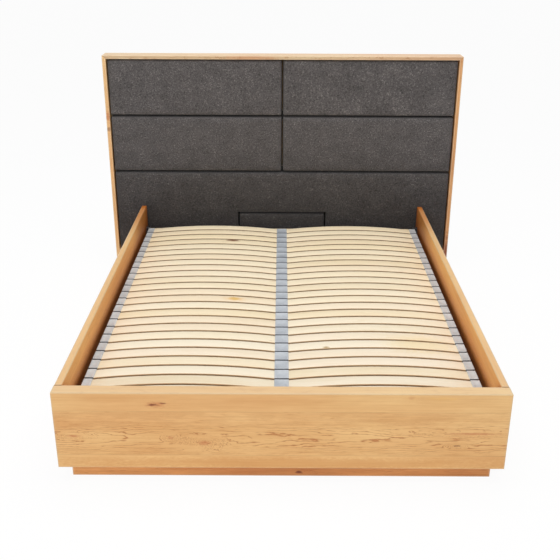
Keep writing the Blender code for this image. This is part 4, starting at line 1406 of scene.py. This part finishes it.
@dataclass
class LiftingGear:
    """Hinge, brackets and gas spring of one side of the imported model, with their screws."""

    side: str
    way: int  # -1 for the left side, 1 for the right
    plate_holes: tuple[tuple[float, float], ...] = ((0.010, 0.012), (0.046, 0.012), (0.030, 0.034))
    bracket_holes: tuple[float, float] = (-0.018, 0.018)  # along the bed, from the bracket's middle
    bracket_drop: float = 0.021
    angle_holes: tuple[float, float] = (0.02, 0.055)  # up from the angle's lower end
    angle_wall: float = 0.003
    angle_reach: tuple[float, float] = (0.013, 0.012)  # from its free edges, on its two sides
    block_holes: tuple[float, float] = (0.02, 0.063)
    arm_holes: tuple[float, float] = (0.014, 0.050)
    arm_level: float = 0.0175
    anchor_holes: tuple[float, float] = (-0.011, 0.011)  # up from the upper plate's middle
    anchor_along: float = 0.007
    anchor_face: float = 0.0033  # face of the upper plate, in front of the side bar
    floor_batten_lift: float = 0.005  # its screws above its middle
    batten_screws: int = 6

    def build(self) -> None:
        """Dresses the gear and adds its screws."""
        coated = ("hinge_plate", "hinge_arm", "spring_bracket", "spring_anchor", "gas_cylinder")
        finishes = {POWDER_COAT: coated, BLACK_ZINC: ("hinge_pin",), ZINC: ("head_angle",),
                    CHROME: ("gas_rod",)}
        for finish, nodes in finishes.items():
            for node in nodes:
                name = f"{node}_{self.side}"
                dress_node(name, finish.material(name))
        Screws().group(f"rail_screws_{self.side}", self._fixed_screws(), Body.BED)
        Screws().group(f"bar_screws_{self.side}", self._lifted_screws(), Body.BASE)
        LOG.info("lifting gear dressed on the %s", self.side)

    def _room(self, node: str) -> tuple[float, float, Vector, Vector]:
        """X of a node's faces to the middle of the bed and away from it, and its two corners."""
        low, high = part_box(f"{node}_{self.side}")
        return (low.x, high.x, low, high) if self.way > 0 else (high.x, low.x, low, high)

    def _fixed_screws(self) -> list[Seat]:
        """Lists the screws of the plates, angles, blocks and battens on the rail.

        Returns:
            Their seats.
        """
        inward = (-self.way, 0, 0)
        face, _, low, _ = self._room("hinge_plate")
        places = [((face, low.y + along, low.z + up), inward) for along, up in self.plate_holes]
        _, _, low, high = self._room("spring_bracket")
        middle, level = (low.y + high.y) / 2, high.z - self.bracket_drop
        places += [((face, middle + along, level), inward) for along in self.bracket_holes]
        free, wall, low, high = self._room("head_angle")
        wall, free = wall - self.way * self.angle_wall, free + self.way * self.angle_reach[1]
        places += [((wall, low.y + self.angle_reach[0], low.z + up), inward) for up in self.angle_holes]
        places += [((free, high.y - self.angle_wall, low.z + up), (0, -1, 0)) for up in self.angle_holes]
        block, _, low, high = self._room("corner_block")
        places += [((block, (low.y + high.y) / 2, low.z + up), inward) for up in self.block_holes]
        return (places + self._along_batten("rest_batten", 0.0)
                + self._along_batten("floor_batten", self.floor_batten_lift))

    def _along_batten(self, node: str, lift: float) -> list[Seat]:
        """Lists the screws along a batten of the rail.

        Args:
            node: The batten, without its side.
            lift: Height of the screws above its middle.

        Returns:
            Their seats.
        """
        face, _, low, high = self._room(node)
        level = (low.z + high.z) / 2 + lift
        pitch = (high.y - low.y) / self.batten_screws
        return [((face, low.y + (i + 0.5) * pitch, level), (-self.way, 0, 0))
                for i in range(self.batten_screws)]

    def _lifted_screws(self) -> list[Seat]:
        """Lists the screws of the hinge arm and of the spring's upper plate, on the side bar.

        Returns:
            Their seats.
        """
        _, outer, low, _ = self._room("hinge_arm")
        level = low.z + self.arm_level
        places = [((outer, low.y + along, level), (self.way, 0, 0)) for along in self.arm_holes]
        _, _, low, high = self._room("spring_anchor")
        face = self._room("frame_side_bar")[0] - self.way * self.anchor_face
        along, middle = low.y + self.anchor_along, (low.z + high.z) / 2
        return places + [((face, along, middle + up), (-self.way, 0, 0)) for up in self.anchor_holes]


@dataclass
class BackPanelScrews:
    """Flat screws round the edge of the headboard's back panel."""

    inset: float = 0.016
    pitch: float = 0.2
    radius: float = 0.0035
    height: float = 0.0006

    def build(self) -> None:
        """Adds the screws."""
        low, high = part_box("headboard_back_panel")
        left, right = low.x + self.inset, high.x - self.inset
        bottom, top = low.z + self.inset, high.z - self.inset
        spots = [(x, z) for z in (bottom, top) for x in self._spread(left, right)]
        spots += [(x, z) for x in (left, right) for z in self._spread(bottom, top)[1:-1]]
        places = [((x, high.y, z), (0, 1, 0)) for x, z in spots]
        Screws(self.radius, self.height).group("back_panel_screws", places, Body.BED)

    def _spread(self, start: float, end: float) -> list[float]:
        """Even places from start to end, about a pitch apart."""
        count = round((end - start) / self.pitch)
        return [start + (end - start) * i / count for i in range(count + 1)]


def main() -> None:
    """Builds the studio and dresses the bed, part by part."""
    logging.basicConfig(level=logging.INFO, format="%(name)s: %(message)s")
    Studio().build()
    WoodenParts().build()
    SlatBase().build()
    PaddedHeadboard().build()
    for side, way in (("left", -1), ("right", 1)):
        LiftingGear(side, way).build()
    BackPanelScrews().build()


if __name__ == "__main__":
    main()
